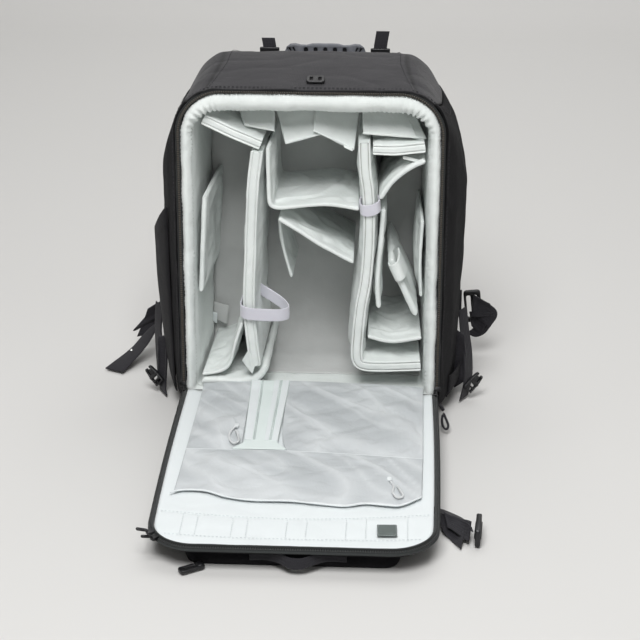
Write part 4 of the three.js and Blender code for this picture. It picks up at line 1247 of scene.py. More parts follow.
def make_lid():
    """The opened front panel: its white lining, dark outer skin and full pocket."""
    rows = lid_rows(LID_START, LID_END, LID_RADIUS, 4.2)
    columns = 110
    skin_columns = 40
    patch_x, patch_y = 99.3, -325.5

    def lining(i, j):
        y = -rows[j]
        x = (2 * i / columns - 1) * (lid_half(y) + lid_bow(y) * (1 if rows[j] < LID_END - LID_RADIUS
                                                                 else 0.6))
        return on_lid(x, y, -LID_THICK / 2 - 0.9)

    def relief(i, j, co):
        y = -rows[j]
        x = co.x
        soft = 1.3 * folds(co, (70, 60, 30), 80) + 0.5 * folds(co, (22, 22, 22), 81) - 0.8 * crease(co,
                                                                                                    (60, 46,
                                                                                                     40), 83)
        seam = max(smooth_step(3.2, 0, abs(x - line)) for line in QUILT_SEAMS) * smooth_step(-296, -306, y) \
            * smooth_step(-346, -338, y)
        across = smooth_step(3.4, 0, abs(y - cross_seam(x)))
        edge = smooth_step(0, 14, lid_half(y) - abs(x)) * smooth_step(-LID_END, -LID_END + 12, y)
        covered = smooth_step(-285, -262, y) * smooth_step(143, 134, abs(x))
        return 1.2 * covered + 0.7 * seam + 0.9 * across - soft * edge * (1 - covered)
    shape = laid_grid(columns, len(rows) - 1, lining, relief=relief)
    add_piece("lid_panel_cloth", shape, "lid_lining", ["lid_panel"], wall=LID_THICK - 1)

    def on_cloth(x, y):
        return on_lid(x, y, 0.3)
    lines = [Track([on_cloth(-145 + 290 * k / 12, cross_seam(-145 + 290 * k / 12)) for k in range(13)])]
    lines += [Track([on_cloth(x, cross_seam(x) - 2), on_cloth(x, -325), on_cloth(x, -343)])
              for x in QUILT_SEAMS]
    lines += [Track([on_cloth(-136 + 272 * k / 8, -347 + 6 * abs(k / 4 - 1)**3) for k in range(9)])]
    shape = stitches(lines, 3.0, 1.2, 0.32)
    add_piece("lid_stitches", shape, "thread", slot="lid_lining")

    skin_top = -LID_THICK - 0.4

    def skin(i, j):
        y = -rows[j * 2]
        x = (2 * i / skin_columns - 1) * (lid_half(y) - 1 + lid_bow(y))
        return on_lid(x, y, skin_top - WALL / 2)
    shape = laid_grid(skin_columns, (len(rows) - 1) // 2, skin)
    add_piece("lid_skin_cloth", shape, "shell_fabric", ["lid_shell"], wall=WALL)

    def floor_height(y):
        return -(HINGE_Z + y * math.sin(LID_DROP)) / math.cos(LID_DROP)
    levels = 18
    base = round_outline(112, -350, -44, 16, 16)
    stations = outline_stations(base, 4)

    def pocket(i, j):
        t = j / levels
        grow = 8 * t
        corners = round_outline(112 + grow, -350 - 3 * math.sin(math.pi * min(1, t * 1.4)), -44 + 14 * t,
                                16 + grow, 16 + grow)
        spot = outline_spot(corners, stations[i % len(stations)])[0]
        low = floor_height(spot.y)
        return on_lid(spot.x, spot.y, low + (skin_top - WALL / 2 - low) * t)
    shape = laid_grid(len(stations), levels, pocket, wrap=True,
                      relief=lambda i, j, co: (1.6 * folds(co, (40, 40, 16), 82) - 1.4 * crease(co,
                                                                                                (60, 60,
                                                                                                 20), 84))
                      * math.sin(math.pi * j / levels))
    close_holes(shape)
    bmesh.ops.recalc_face_normals(shape, faces=shape.faces[:])
    add_piece("lid_pocket_cloth", shape, "shell_fabric", ["lid_shell"])
    patch = flat_part([rounded(21, 23, 1.2)], 0.9, 0.3, Matrix.Translation(on_lid(patch_x, patch_y, 0.5))
                      @ Matrix.Rotation(LID_DROP, 4, "X") @ Matrix.Rotation(math.radians(2), 4, "Z"))
    add_piece("lid_patch", patch, "label_patch")
    edge = rounded(18.6, 20.6, 0.8, steps=1)
    loop = Track([on_lid(patch_x + x, patch_y + y, 1.05) for x, y in edge + edge[:1]])
    add_piece("lid_patch_stitches", stitches([loop], 1.8, 0.9, 0.22), "thread", slot="lid_lining")


def lid_edge(out):
    """A walk round the front panel's three free edges, out millimetres outside its lining."""
    edge = LID_HALF + out
    front = LID_END + out
    radius = LID_RADIUS + out
    points = [(-edge, -LID_START - (front - radius - LID_START) * k / 30) for k in range(30)]
    turn = math.pi / 2
    points += [(-edge + radius - radius * math.cos(turn * k / 14),
                -front + radius - radius * math.sin(turn * k / 14))
               for k in range(15)]
    points += [(-edge + radius + (2 * edge - 2 * radius) * k / 24, -front) for k in range(1, 24)]
    points += [(edge - radius + radius * math.sin(turn * k / 14),
                -front + radius - radius * math.cos(turn * k / 14))
               for k in range(15)]
    points += [(edge, -front + radius + (front - radius - LID_START) * k / 30) for k in range(1, 31)]
    return points


def make_lid_binding():
    """The piped edge and zip tape round the front panel, with its teeth."""
    section = [(0.6, -5.5), (0.6, -0.9), (0.9, 0.2), (1.7, 0.9), (2.6, 0.7), (3.1, -0.3), (3.8, -1.2),
               (5.6, -2.6),
               (7.0, -4.6), (7.2, -5.6), (6.4, -6.2), (3.6, -6.2)]
    edges = [lid_edge(out) for out, _ in section]
    steps = len(edges[0]) - 1

    def bowed(x, y):
        return x + (lid_bow(y) if x > 0 else -lid_bow(y)) * smooth_step(LID_HALF - 30, LID_HALF, abs(x))

    def place(i, j):
        x, y = edges[j % len(section)][i]
        return on_lid(bowed(x, y), y, section[j % len(section)][1])
    shape = laid_grid(steps, len(section), place, wrap=True,
                      shade=lambda i, j: 0.9 if j % 12 in (1, 5, 6) else 0.0,
                      relief=lambda i, j, co: 0.3 * folds(co, (12, 12, 12), 90))
    close_holes(shape)
    add_piece("lid_binding_tape", shape, "binding_tape", ["lid_binding"], levels=1)
    pitch = bpy.context.scene.backpack_sizes.tooth_pitch / MM
    line = [on_lid(bowed(x, y), y, -1.7) for x, y in lid_edge(5.0)]
    spots = []
    for spot, ahead in paced(line, pitch):
        spots.append((spot, ahead, Vector((0, 0, 1)).cross(ahead).normalized()))
    add_piece("lid_zip_teeth", teeth(spots, 3.2, 1.3, 1.1), "coil", slot="binding_tape")


NET_FRONT = [(-139, -259), (-131, -254), (-121, -251.5), (-100, -253), (-78, -264), (-50, -270.5),
             (-7, -270.5),
             (37, -277), (53, -278.5), (75, -272), (98, -274.5), (112, -274.5), (136, -255)]
NET_BACK = [(-140, 3), (-104, 9), (-71.6, 12.5), (-24, 15), (36, 13), (109, 8), (139, 4)]


def net_height(y):
    """The nets lie on the front panel and turn up over the sill at the hinge."""
    return 0.9 + 1.4 * smooth_step(-14, 2, y)


def make_mesh_pockets():
    """Grey net pockets on the front panel: two above the cross seam and one below it."""
    steps = 60
    front_line = Track([(x, y, 0) for x, y in NET_FRONT])
    back_line = Track([(x, y, 0) for x, y in NET_BACK])
    lines = {"front": [front_line.at(k / 120) for k in range(121)],
             "back": [back_line.at(k / 120) for k in range(121)]}

    def edge(which, x):
        return min(lines[which], key=lambda p: abs(p.x - x)).y

    def far_seam(x):
        return -160 - 12 * max(0, (x + 20) / 160)**1.3
    sheets = [
        ("left", lambda t: (-129 - 3.5 * t, -71 + 1 * t), lambda x: edge("back", x), far_seam),
        ("right", lambda t: (-27 + 9 * t**6, 137), lambda x: edge("back", x), far_seam),
        ("front", lambda t: (-132.5 - 2.5 * t, 137 - t), far_seam, lambda x: edge("front", x)),
    ]
    for number, (name, span, near, far) in enumerate(sheets):
        def place(i, j, span=span, near=near, far=far, number=number):
            t = j / steps
            low, high = span(t)
            x = low + (high - low) * i / steps
            y = near(x) + (far(x) - near(x)) * t
            lift = 0.9 * smooth_step(0.2, 0, t) if number == 2 else 0.0
            return on_lid(x, y, net_height(y) + lift)

        def relief(i, j, co, number=number):
            inside = smooth_step(0, 9, min(i, steps - i)) * smooth_step(0, 9, min(j, steps - j))
            slant = Vector((co.x + 0.9 * co.y, co.y - 0.7 * co.x, 0))
            long_folds = 2.2 * folds(slant, (36, 130, 1), 100 + number)
            long_folds += 2.6 * crease(slant, (70, 240, 1), 104 + number)
            return -inside * max(0, 1.6 + long_folds + 0.6 * folds(co, (20, 20, 20), 108 + number))

        def pin(i, j):
            return 1.0 if min(i, steps - i, j, steps - j) < 2 else 0.0

        # Painted highlights along the long folds, and the paler hem of the front pocket
        def fold_highlight_and_hem(i, j, number=number, place=place):
            co = place(i, j)
            slant = Vector((co.x + 0.9 * co.y, co.y - 0.7 * co.x, 0))
            hem = 0.8 if j > steps - 2 and number == 2 else 0.0
            return max(hem, 0.4 * crease(slant, (70, 240, 1), 104 + number),
                       0.3 * crease(slant, (40, 150, 1), 114 + number))
        shape = laid_grid(steps, steps, place, relief=relief, pin=pin, shade=fold_highlight_and_hem)
        net = add_piece(f"mesh_pocket_{name}", shape, "mesh_fabric", ["mesh_pockets"], wall=0.6, levels=1)
        puff(net, 0.25, 0.012, 2.5)
    hems = [
        ("net_hem_front", [on_lid(x, y - 0.5, net_height(y) + 0.5) for x, y in NET_FRONT], 1.0),
        ("net_hem_cross", [on_lid(x, far_seam(x), 1.5) for x in range(-133, 139, 15)], 0.7),
    ]
    for name, points, radius in hems:
        add_piece(f"{name}_cloth", tube(points, radius), "lid_lining")


def make_zip_band():
    """The white band between the two upper pockets, with a zip along each side."""
    def across(t):
        """Left and right edge of the band at share t of its length."""
        flare = smooth_step(0.9, 1.0, t)
        straight = min(1, t / 0.9)
        return -72.0 + 3.6 * straight - 13 * flare, -24.5 - 4.8 * straight + 12 * flare

    def band_place(t, s, height):
        y = 12.5 - 171 * t
        left, right = across(t)
        return on_lid(left + (right - left) * s, y, net_height(y) + 1.0 + height)
    columns, rows = 12, 44
    tape_end = 0.88
    strips = [
        ("zip_band", 0.0, 1.0, 0.0, 1.2, ["zip_band"], "band_cloth"),
        ("zip_tape_left", 0.02, 0.25, 0.9, 0.8, [], "lid_lining"),
        ("zip_tape_middle", 0.6, 0.73, 0.9, 0.8, [], "lid_lining"),
        ("zip_tape_right", 0.82, 0.985, 0.9, 0.8, [], "lid_lining"),
    ]
    for number, (name, low, high, height, wall, node_names, finish) in enumerate(strips):
        def place(i, j, low=low, high=high, height=height):
            t = j / rows if not height else tape_end * j / rows
            return band_place(t, low + (high - low) * i / columns, height)
        shape = laid_grid(columns, rows, place, relief=lambda i, j,
                          co: 0.35 * folds(co, (10, 26, 10), 110 + number))
        add_piece(f"{name}_cloth", shape, finish, node_names, slot="lid_lining", wall=wall, levels=1)
    for name, s in (("left", 0.3), ("right", 0.775)):
        line = [band_place(tape_end * k / 60, s, 0.7) for k in range(61)]
        spots = [(spot, ahead, Vector((0, 0, 1)).cross(ahead).normalized()) for spot,
                 ahead in paced(line, 2.2)]
        add_piece(f"net_zip_teeth_{name}", teeth(spots, 2.6, 1.1, 0.8), "pale_coil", slot="lid_lining")
    slider = joined(
        flat_part([rounded(5, 8, 1.5)], 2.2, 0.5, Matrix.Translation(on_lid(-79, -110, 6))),
        flat_part([rounded(2.6, 6, 1.2)], 1.2, 0.3, Matrix.Translation(on_lid(-79.5, -113, 7.6))))
    add_piece("net_slider_left", slider, "white_paint", slot="lid_lining")
    slider = joined(
        flat_part([rounded(5, 8, 1.5)], 2.2, 0.5, Matrix.Translation(on_lid(100, -226, 6))),
        flat_part([rounded(2.6, 6, 1.2)], 1.2, 0.3, Matrix.Translation(on_lid(100.8, -229, 7.4))))
    add_piece("net_slider_front", slider, "white_paint", slot="lid_lining")


CORDS = [
    ("pull_cord_left", [(-79, -112, 1.4), (-84, -122, 0), (-85, -140, 0), (-79, -152, 0), (-74, -148, 0),
                        (-75.5, -132, 0), (-79, -122, 0)]),
    ("pull_cord_front", [(101, -230, 0), (105, -241, 0), (104, -256, 0), (110, -266, 0), (115, -263, 0),
                         (112, -250, 0), (109, -241, 0)]),
]


def make_pull_cords(sizes):
    """Cord loops on the net pockets' zips."""
    height = 4.6 + sizes.cord_diameter / MM / 2
    for name, points in CORDS:
        track = Track([on_lid(x, y, height + rise) for x, y, rise in points])
        line = bpy.data.curves.new(f"{name}_line", "CURVE")
        line.dimensions = "3D"
        line.bevel_depth = sizes.cord_diameter / 2
        line.bevel_resolution = 4
        line.use_fill_caps = True
        spline = line.splines.new("POLY")
        count = 48
        spline.points.add(count)
        for k in range(count + 1):
            spline.points[k].co = (*(track.at(k / count) * MM), 1)
        line.materials.append(FINISHES["cord"])
        cord = bpy.data.objects.new(f"{name}_braid", line)
        bpy.context.scene.collection.objects.link(cord)
        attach(cord, "root")
        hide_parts(name)
        track.at(0) * MM


def make_straps():
    """Webbing of the sides, hips, top and front panel."""
    webs = [
        ("side_strap_left", [(-197, 24, 96), (-196.6, 6, 72), (-193.8, -10, 40), (-190, -26, 16),
                             (-186, -38, 3)],
         21, (0.5, -0.86, 0), (0.5, -0.86, 0), 2, True),
        ("side_strap_right", [(184.9, 30, 95), (187.5, 10, 76), (192, -10, 50), (192.5, -22, 22),
                              (187.5, -34, 3)],
         21, (-0.5, -0.86, 0), (-0.5, -0.86, 0), 2, True),
        ("hip_web_left", [(-196, BACK_PAD_Y - 11.3, 50), (-212, 86, 40), (-230, 62, 20), (-258, 24, 3.2)],
         27, (0.6, -0.2, 0.75), (0.9, -0.43, 0), 2, True),
        ("hip_web_right", [(207, 103, 66), (216, 98, 62), (226, 95, 53), (222, 95, 43), (212, 97, 37),
                           (203, 101, 40)], 25, (0.25, 0.15, 0.95), (0.75, 0.2, 0.62), 2.4, True),
        ("lid_strap_right", [(118.5, -330, 9), (148, -332, 9), (170, -348, 11), (186, -366, 12),
                             (189, -380, 12)],
         30, (0.2, -0.9, 0.2), (0.1, -0.9, 0.35), 2, False),
    ]
    for name, points, width, start, end, thickness, leans in webs:
        if leans:
            points = [leaned(Vector(p)) for p in points]
        shape = ribbon(points, width, start, end, thickness)
        add_piece(f"{name}_webbing", shape, "webbing", [name], levels=1)
    loop = Track([(-44, -448, 15), (-26, -449, 16), (-12, -455, 16), (-2, -462, 14), (12, -463, 14),
                  (24, -457, 16),
                  (38, -449, 16), (58, -448, 15)])
    shape = slab(lambda u, w: loop.at(u) + Vector((0, 3 * (0.5 - w), (0.5 - w) * 12)), loop.length, 12, 1.2,
                 step=3)
    add_piece("grab_loop_webbing", shape, "webbing", ["grab_loop"], levels=1)
    # Spare webbing, folded over itself beside its buckles
    steps = 16
    bunches = [
        ("hip_web_tail_upper", [(201, 97, 86), (222, 96, 74), (198, 98, 56), (229, 96, 57)], True),
        ("hip_web_tail_lower", [(196, 99, 62), (226, 95, 63), (199, 98, 42), (211, 96, 32)], True),
        ("lid_strap_tail", [(152, -345, 12), (186, -366, 13), (160, -374, 4), (178, -404, 3)], False),
        ("lid_strap_fold", [(160, -352, 17), (190, -372, 16), (164, -372, 10), (186, -396, 8)], False),
        ("hip_wing_fold", [(-222, 99.5, 58), (-203, 98, 70), (-238, 99, 18), (-206, 96, 27)], True),
        ("side_strap_fold_left", [(-192, -27, 74), (-180, -30, 77), (-195, -30, 14), (-184, -33, 4)], True),
        ("side_strap_fold_right", [(172, -12, 88), (187, -14, 78), (176, -18, 10), (192, -20, 22)], True),
    ]
    for number, (name, corners, leans) in enumerate(bunches):
        spots = [leaned(Vector(corner)) if leans else Vector(corner) for corner in corners]

        def leaf(i, j, spots=spots):
            return spread(spots, i / steps, j / steps)

        def bent(i, j, co, number=number):
            inside = smooth_step(0, 3, min(i, steps - i, j, steps - j))
            return 2.5 * math.sin(math.pi * j / steps) * inside + 3.6 * folds(co, (15, 15, 15), number + 140)
        shape = laid_grid(steps, steps, leaf, relief=bent)
        add_piece(name, shape, "webbing", wall=2.4)
    web_y = OUTER_BACK_Y + 3.6
    for side, x, sway, high in (("left", -61, -2, 416), ("right", 76, 3, 426)):
        points = [leaned(Vector(p)) for p in ((x, web_y, 374), (x, web_y, 390), (x, web_y, 406),
                                              (x + sway, web_y + 2, high))]
        shape = ribbon(points, 16.4, (1, 0, 0), (1, 0, 0), 1.8)
        add_piece(f"lifter_web_{side}_webbing", shape, "webbing", [f"lifter_web_{side}"], levels=1)


def make_hardware():
    """Buckles, locks, the top tab and the carry handle."""
    plug = [(-13, -7.5), (-11.5, -7.5), (-1, -7.5), (2, -7.2), (7, -6.2), (10.5, -5.6), (12.6, -4.2),
            (12.2, -2.9),
            (9.6, -2.7), (8.2, -3.9), (2.6, -4.3), (1.2, -3.2), (1.2, -1.5), (8.8, -1.1), (9.4, 0),
            (8.8, 1.1),
            (1.2, 1.5), (1.2, 3.2), (2.6, 4.3), (8.2, 3.9), (9.6, 2.7), (12.2, 2.9), (12.6, 4.2),
            (10.5, 5.6), (7, 6.2),
            (2, 7.2), (-1, 7.5), (-11.5, 7.5), (-13, 7.5)]
    slots = [rounded(3, 11, 1, x=-9.5), rounded(3, 11, 1, x=-4.2)]
    for name, side, x in (("left", -1, 198.5), ("right", 1, 199.5)):
        outlines = [[(side * px, py) for px, py in points] for points in (plug, *slots)]
        place = standing(side * x, -31.5, 24) @ turned(
            (0, 0, 0), ("X", 90), ("Y", side * -42), ("Z", side * 28))
        body = flat_part(outlines, 5, 1.0, place)
        bar = flat_part([rounded(3.4, 15, 1.2, x=side * -0.4)], 7, 1.2, place)
        add_piece(f"side_buckle_{name}_plug", joined(body, bar), "buckle_plastic", [f"side_buckle_{name}"])
    place = standing(200.5, BACK_PAD_Y - 4.4, 66) @ turned((0, 0, 0), ("X", 90), ("Y", -6))
    frame_part = flat_part([rounded(22, 44, 4), rounded(5.5, 31, 2, x=-5), rounded(3, 31, 1.2, x=4.5)], 6,
                           1.4, place)
    bar = flat_part([rounded(3.2, 36, 1.4, x=0.3)], 7, 1.4, place)
    hook = flat_part([rounded(5, 7, 1.5, x=7.5, y=-17)], 9, 1.4, place)
    add_piece("hip_buckle_right_frame", joined(frame_part, bar, hook), "buckle_plastic", ["hip_buckle_right"])
    place = Matrix.Translation(Vector((197, -380, 12))) @ Matrix.Rotation(math.radians(-4), 4, "Z") \
        @ Matrix.Rotation(math.radians(90), 4, "Y")
    frame_part = flat_part([rounded(22, 40, 4), rounded(5, 30, 1.6, x=-4.6), rounded(5, 30, 1.6, x=4.6)], 6,
                           1.3, place)
    bar = flat_part([rounded(2.8, 36, 1.2)], 8, 1.2, place)
    add_piece("lid_buckle_right_frame", joined(frame_part, bar), "buckle_plastic", ["lid_buckle_right"])
    place = Matrix.Translation(Vector((-104, -460, 4))) @ Matrix.Rotation(math.radians(32), 4, "Z")
    hook = flat_part([rounded(28, 11, 3), rounded(15, 4, 1.6, x=-2.5, y=-0.5)], 4, 1.0, place)
    nose = flat_part([rounded(7, 9, 2.4, x=9.5)], 6.6, 1.4, place)
    add_piece("lid_buckle_left_hook", joined(hook, nose), "buckle_plastic", ["lid_buckle_left"])
    for name, x in (("left", -61), ("right", 76)):
        place = standing(x, OUTER_BACK_Y + 3.4, 400)
        lock = flat_part([rounded(24, 6.4, 1.4), rounded(17.4, 2.4, 0.6, y=0.3)], 9, 1.0, place)
        rib = flat_part([rounded(24, 2.2, 0.9, y=-2.4)], 3.2, 0.8,
                        standing(x, OUTER_BACK_Y + 3.4, 403.6))
        add_piece(f"ladder_lock_{name}_body", joined(lock, rib), "buckle_plastic", [f"ladder_lock_{name}"])
    # A plain lash plate with two slots
    plate = rounded(21, 17, 3.6)
    slots = [rounded(3.4, 10, 1.6, x=x) for x in (-5, 5)]
    place = standing(5, -70, 414.6) @ Matrix.Rotation(math.radians(9), 4, "X")
    add_piece("top_tab_plate", flat_part([plate, *slots], 3.0, 0.8, place), "buckle_plastic", ["top_tab"])

    left = [(-50, 2), (-47, 0), (-38, 0), (-36.6, 5), (-35, 10), (-31, 14), (-24, 16), (-14, 16.6), (0, 16.8)]
    top = [(0, 36.2), (-8, 36.4), (-16, 36.1), (-23, 34.4), (-30, 34.6), (-37, 36.2), (-43, 35.6),
           (-48, 31.6),
           (-50, 26)]
    outline = left + [(-x, y) for x, y in reversed(left[:-1])] + [(-x, y) for x, y in reversed(top[1:])] + top
    holes = []
    for x in (-24, -12, 0, 12, 24):
        arch = [(x + 2.4 * math.cos(math.pi * k / 6), 29 + 2.4 * math.sin(math.pi * k / 6)) for k in range(7)]
        holes.append(arch + [(x - 2.4, 24), (x + 2.4, 24)])
    for side in (-1, 1):
        for x in (36.5, 41.5):
            holes.append([(side * (x + dx), y) for dx, y in ((-1, 24.6), (1, 24), (4.4, 31), (2.6, 31.8))])
    place = standing(8, OUTER_BACK_Y + 2.9, 374) @ Matrix.Rotation(
        math.radians(90) - math.atan(LEAN_BACK), 4, "X")
    grip = flat_part([outline, *holes], 5, 1.4, place)
    add_piece("carry_handle_grip", grip, "handle_rubber", ["carry_handle"])
    # The holes of the grip end on a dark web inside it
    web = [(x, min(max(y, 18), 34)) for x, y in outline if y > 15]
    back = flat_part([web], 1.2, 0.3, place @ Matrix.Translation(Vector((0, 0, -1.2))))
    add_piece("carry_handle_web", back, "buckle_plastic")


def make_zips():
    """The zip round the opening, its ends at the hinge, and the sliders with their pulls."""
    inner = lining_corners(FRONT_Y, 0.5)
    outer = round_outline(BODY[0].half - 1.4, WALL / 2, BODY[0].top - 1.4, 50, BASE_RADIUS)
    stations = outline_stations(inner, 3.5)
    right_side = [s for s in stations if s[0] == 3 and s[1] == 1]
    path = right_side + [s for s in stations if s[0] in (0, 1)] + [(1, 1, 1)]
    path = [s for s in path if outline_spot(inner, s)[0].y > HINGE_Z - 0.5]

    def between(station, t, y):
        low = outline_spot(inner, station)[0]
        high = outline_spot(outer, station)[0]
        if station[1] == 1 and station[0] != 0:
            high.y = low.y
        spot = low.lerp(high, t)
        return leaned(Vector((spot.x, y, spot.y)))
    section = [(0.0, 5.5), (0.05, 2.0), (0.3, 0.8), (0.55, 0.6), (0.8, 0.2), (1.0, -0.2), (1.12, 0.6)]

    def tape(i, j):
        t, back = section[j]
        return between(path[i], t, FRONT_Y + back)
    shape = laid_grid(len(path) - 1, len(section) - 1, tape,
                      relief=lambda i, j, co: 0.3 * folds(co, (14, 14, 14), 130), shade=lambda i,
                      j: 0.8 if j > 4 else 0.0)
    add_piece("mouth_zip_tape", shape, "binding_tape", wall=0.8)
    line = [between(station, 0.42, FRONT_Y - 0.2) for station in path]
    spots = []
    for spot, ahead in paced(line, bpy.context.scene.backpack_sizes.tooth_pitch / MM):
        spots.append((spot, ahead, Vector((0, -1, 0)).cross(ahead).normalized()))
    add_piece("mouth_zip_teeth", teeth(spots, 2.6, 1.3, 1.1), "brown_coil", slot="binding_tape")

    ends = []
    for side in (-1, 1):
        ends.append(flat_part([rounded(8, 6, 1)], 4, 0.8, turned((side * 154, FRONT_Y - 3.5, 44), ("X", 60),
                                                                 ("Z", side * 8))))
        ends.append(flat_part([rounded(5, 9, 1.4)], 2.5, 0.6, turned((side * 151.5, FRONT_Y - 9, 42),
                                                                     ("X", 20))))
    add_piece("zip_ends", joined(*ends), "zip_metal")
    pulls = []
    for x, y, turn in ((-150, -338, 30), (-144, -349, 48)):
        at = on_lid(x, y, -1)
        pulls.append(flat_part([rounded(9, 7, 2)], 4, 1, turned(at, ("Z", turn))))
        pulls.append(flat_part([rounded(13, 4.6, 2.1, x=-9), rounded(6, 1.6, 0.7, x=-9)], 2, 0.6,
                               turned(at + Vector((0, 0, 1.4)), ("Y", 14), ("Z", turn - 20))))
    add_piece("front_zip_sliders", joined(*pulls), "zip_metal")
    ring = [(161.5, -112, 20), (163.5, -115, 16), (166, -119, 12), (167.5, -127, 9), (165, -133, 8),
            (161.5, -128, 9),
            (160, -120, 13), (161, -113, 18)]
    add_piece("right_zip_pull", joined(tube(ring, 1.5), flat_part([rounded(9, 7, 2)], 4, 1,
                                                                  turned((159.5, -108, 25), ("Y", 60)))),
              "webbing")
    rivet = flat_part([rounded(3.2, 3.2, 1.5)], 1.0, 0.3, turned((-237.2, 41.8, 24), ("X", 40), ("Y", 10)))
    add_piece("hip_web_rivet", rivet, "steel", slot="zip_metal")


def make_seams(sizes):
    """Stitching along the outer bag's seams."""
    rows = []
    for side in (-1, 1):
        for s, out in ((3.86, 0.4), (3.42, 0.6)):
            rows.append(Track([leaned(seam_spot(side, s, -91 + 180 * k / 24, out)) for k in range(25)]))
    for y in (FRONT_Y + 4, FRONT_Y + 7):
        rows.append(Track([leaned(seam_spot(1 if k < 20 else -1, 2.1 + 2.9 * (k if k < 20 else 40 - k) / 20,
                                            y, 0.3))
                           for k in range(41)]))
    length = sizes.stitch_length / MM
    add_piece("shell_stitches", stitches(rows, length, 1.4, 0.4), "dark_thread", slot="shell_fabric")


def seam_spot(side, s, y, out):
    """A spot on the outer face of the bag."""
    near = body_point(side, s - 0.01, y)
    far = body_point(side, s + 0.01, y)
    ahead = body_point(side, s, y + 1) - body_point(side, s, y - 1)
    normal = (far - near).cross(ahead).normalized()
    spot = body_point(side, s, y)
    if normal.dot(Vector((side, 0, 1))) < 0:
        normal = -normal
    return spot + normal * (WALL / 2 + out)


def make_harness():
    """Back pad, shoulder straps and hip wings behind the bag."""
    def middle_pad(u, w):
        half = 118 - 24 * (1 - math.sqrt(max(0, 1 - max(0, (u - 0.88) / 0.12)**2)))
        return leaned(Vector(((w - 0.5) * 2 * half, (OUTER_BACK_Y + 0.4 + BACK_PAD_Y) / 2, 34 + u * 311)))

    def quilting(u, w):
        across = min(abs(u - line) for line in (0.3, 0.62)) * 311
        down = min(abs(w - line) for line in (0.36, 0.64)) * 236
        return smooth_step(7, 0, min(across, down))

    shape = slab(middle_pad, 311, 236, 6.6, step=5,
                 relief=lambda u, w, height, co: 1.5 * folds(co, (60, 60, 60), 120)
                 - (3 * quilting(u, w) if height > 3 else 0),
                 shade=lambda u, w, height: 0.8 if quilting(u, w) > 0.7 and height > 3 else 0.0)
    pad = add_piece("back_pad_foam", shape, "harness_fabric", ["back_pad"], levels=1)
    for name, side in (("left", -1), ("right", 1)):
        track = Track([leaned(Vector(p)) for p in (
            (side * 62, OUTER_BACK_Y + 5.4, 364), (side * 62, BACK_PAD_Y + 6.5, 346),
            (side * 72, BACK_PAD_Y + 9, 290),
            (side * 82, BACK_PAD_Y + 8, 200), (side * 84, BACK_PAD_Y + 6, 140),
            (side * 90, BACK_PAD_Y + 3.5, 96))])

        def middle(u, w, track=track):
            width = 60 - 30 * smooth_step(0.7, 0.85, u)
            return track.at(u) + Vector(((w - 0.5) * width, 0, 0))
        shape = slab(middle, track.length, 60, 4.4, step=5,
                     relief=lambda u, w, height, co: -2.6 * smooth_step(0.72, 0.84,
                                                                        u) * (1 if abs(height) > 3 else 0))
        strap = add_piece(f"shoulder_strap_{name}_foam", shape, "harness_fabric",
                          [f"shoulder_strap_{name}"], levels=1)
    wing_y = BACK_PAD_Y + 3.6
    wings = [
        ("hip_wing_left", [(-60, wing_y + 0.4, 62), (-122, wing_y + 1, 62), (-165, wing_y - 7, 66),
                           (-206, wing_y - 12, 56), (-228, wing_y - 18, 34)], (0, 0, 1), (0.86, 0, 0.5)),
        ("hip_wing_right", [(60, wing_y + 0.4, 66), (122, wing_y + 1, 66), (150, wing_y - 4, 70),
                            (186, wing_y - 8, 70)], (0, 0, 1), (0, 0, 1)),
    ]
    for name, points, start, end in wings:
        shape = ribbon([leaned(Vector(p)) for p in points], 36, start, end, 7)
        wing = add_piece(f"{name}_foam", shape, "harness_fabric", [name], levels=1)


# Stage

CAMERA_PLACE = Vector((117.53, -2178.70, 1037.67))
CAMERA_AZIMUTH = math.radians(2.895)
CAMERA_ELEVATION = math.radians(23.497)
CAMERA_LENS = 107.43


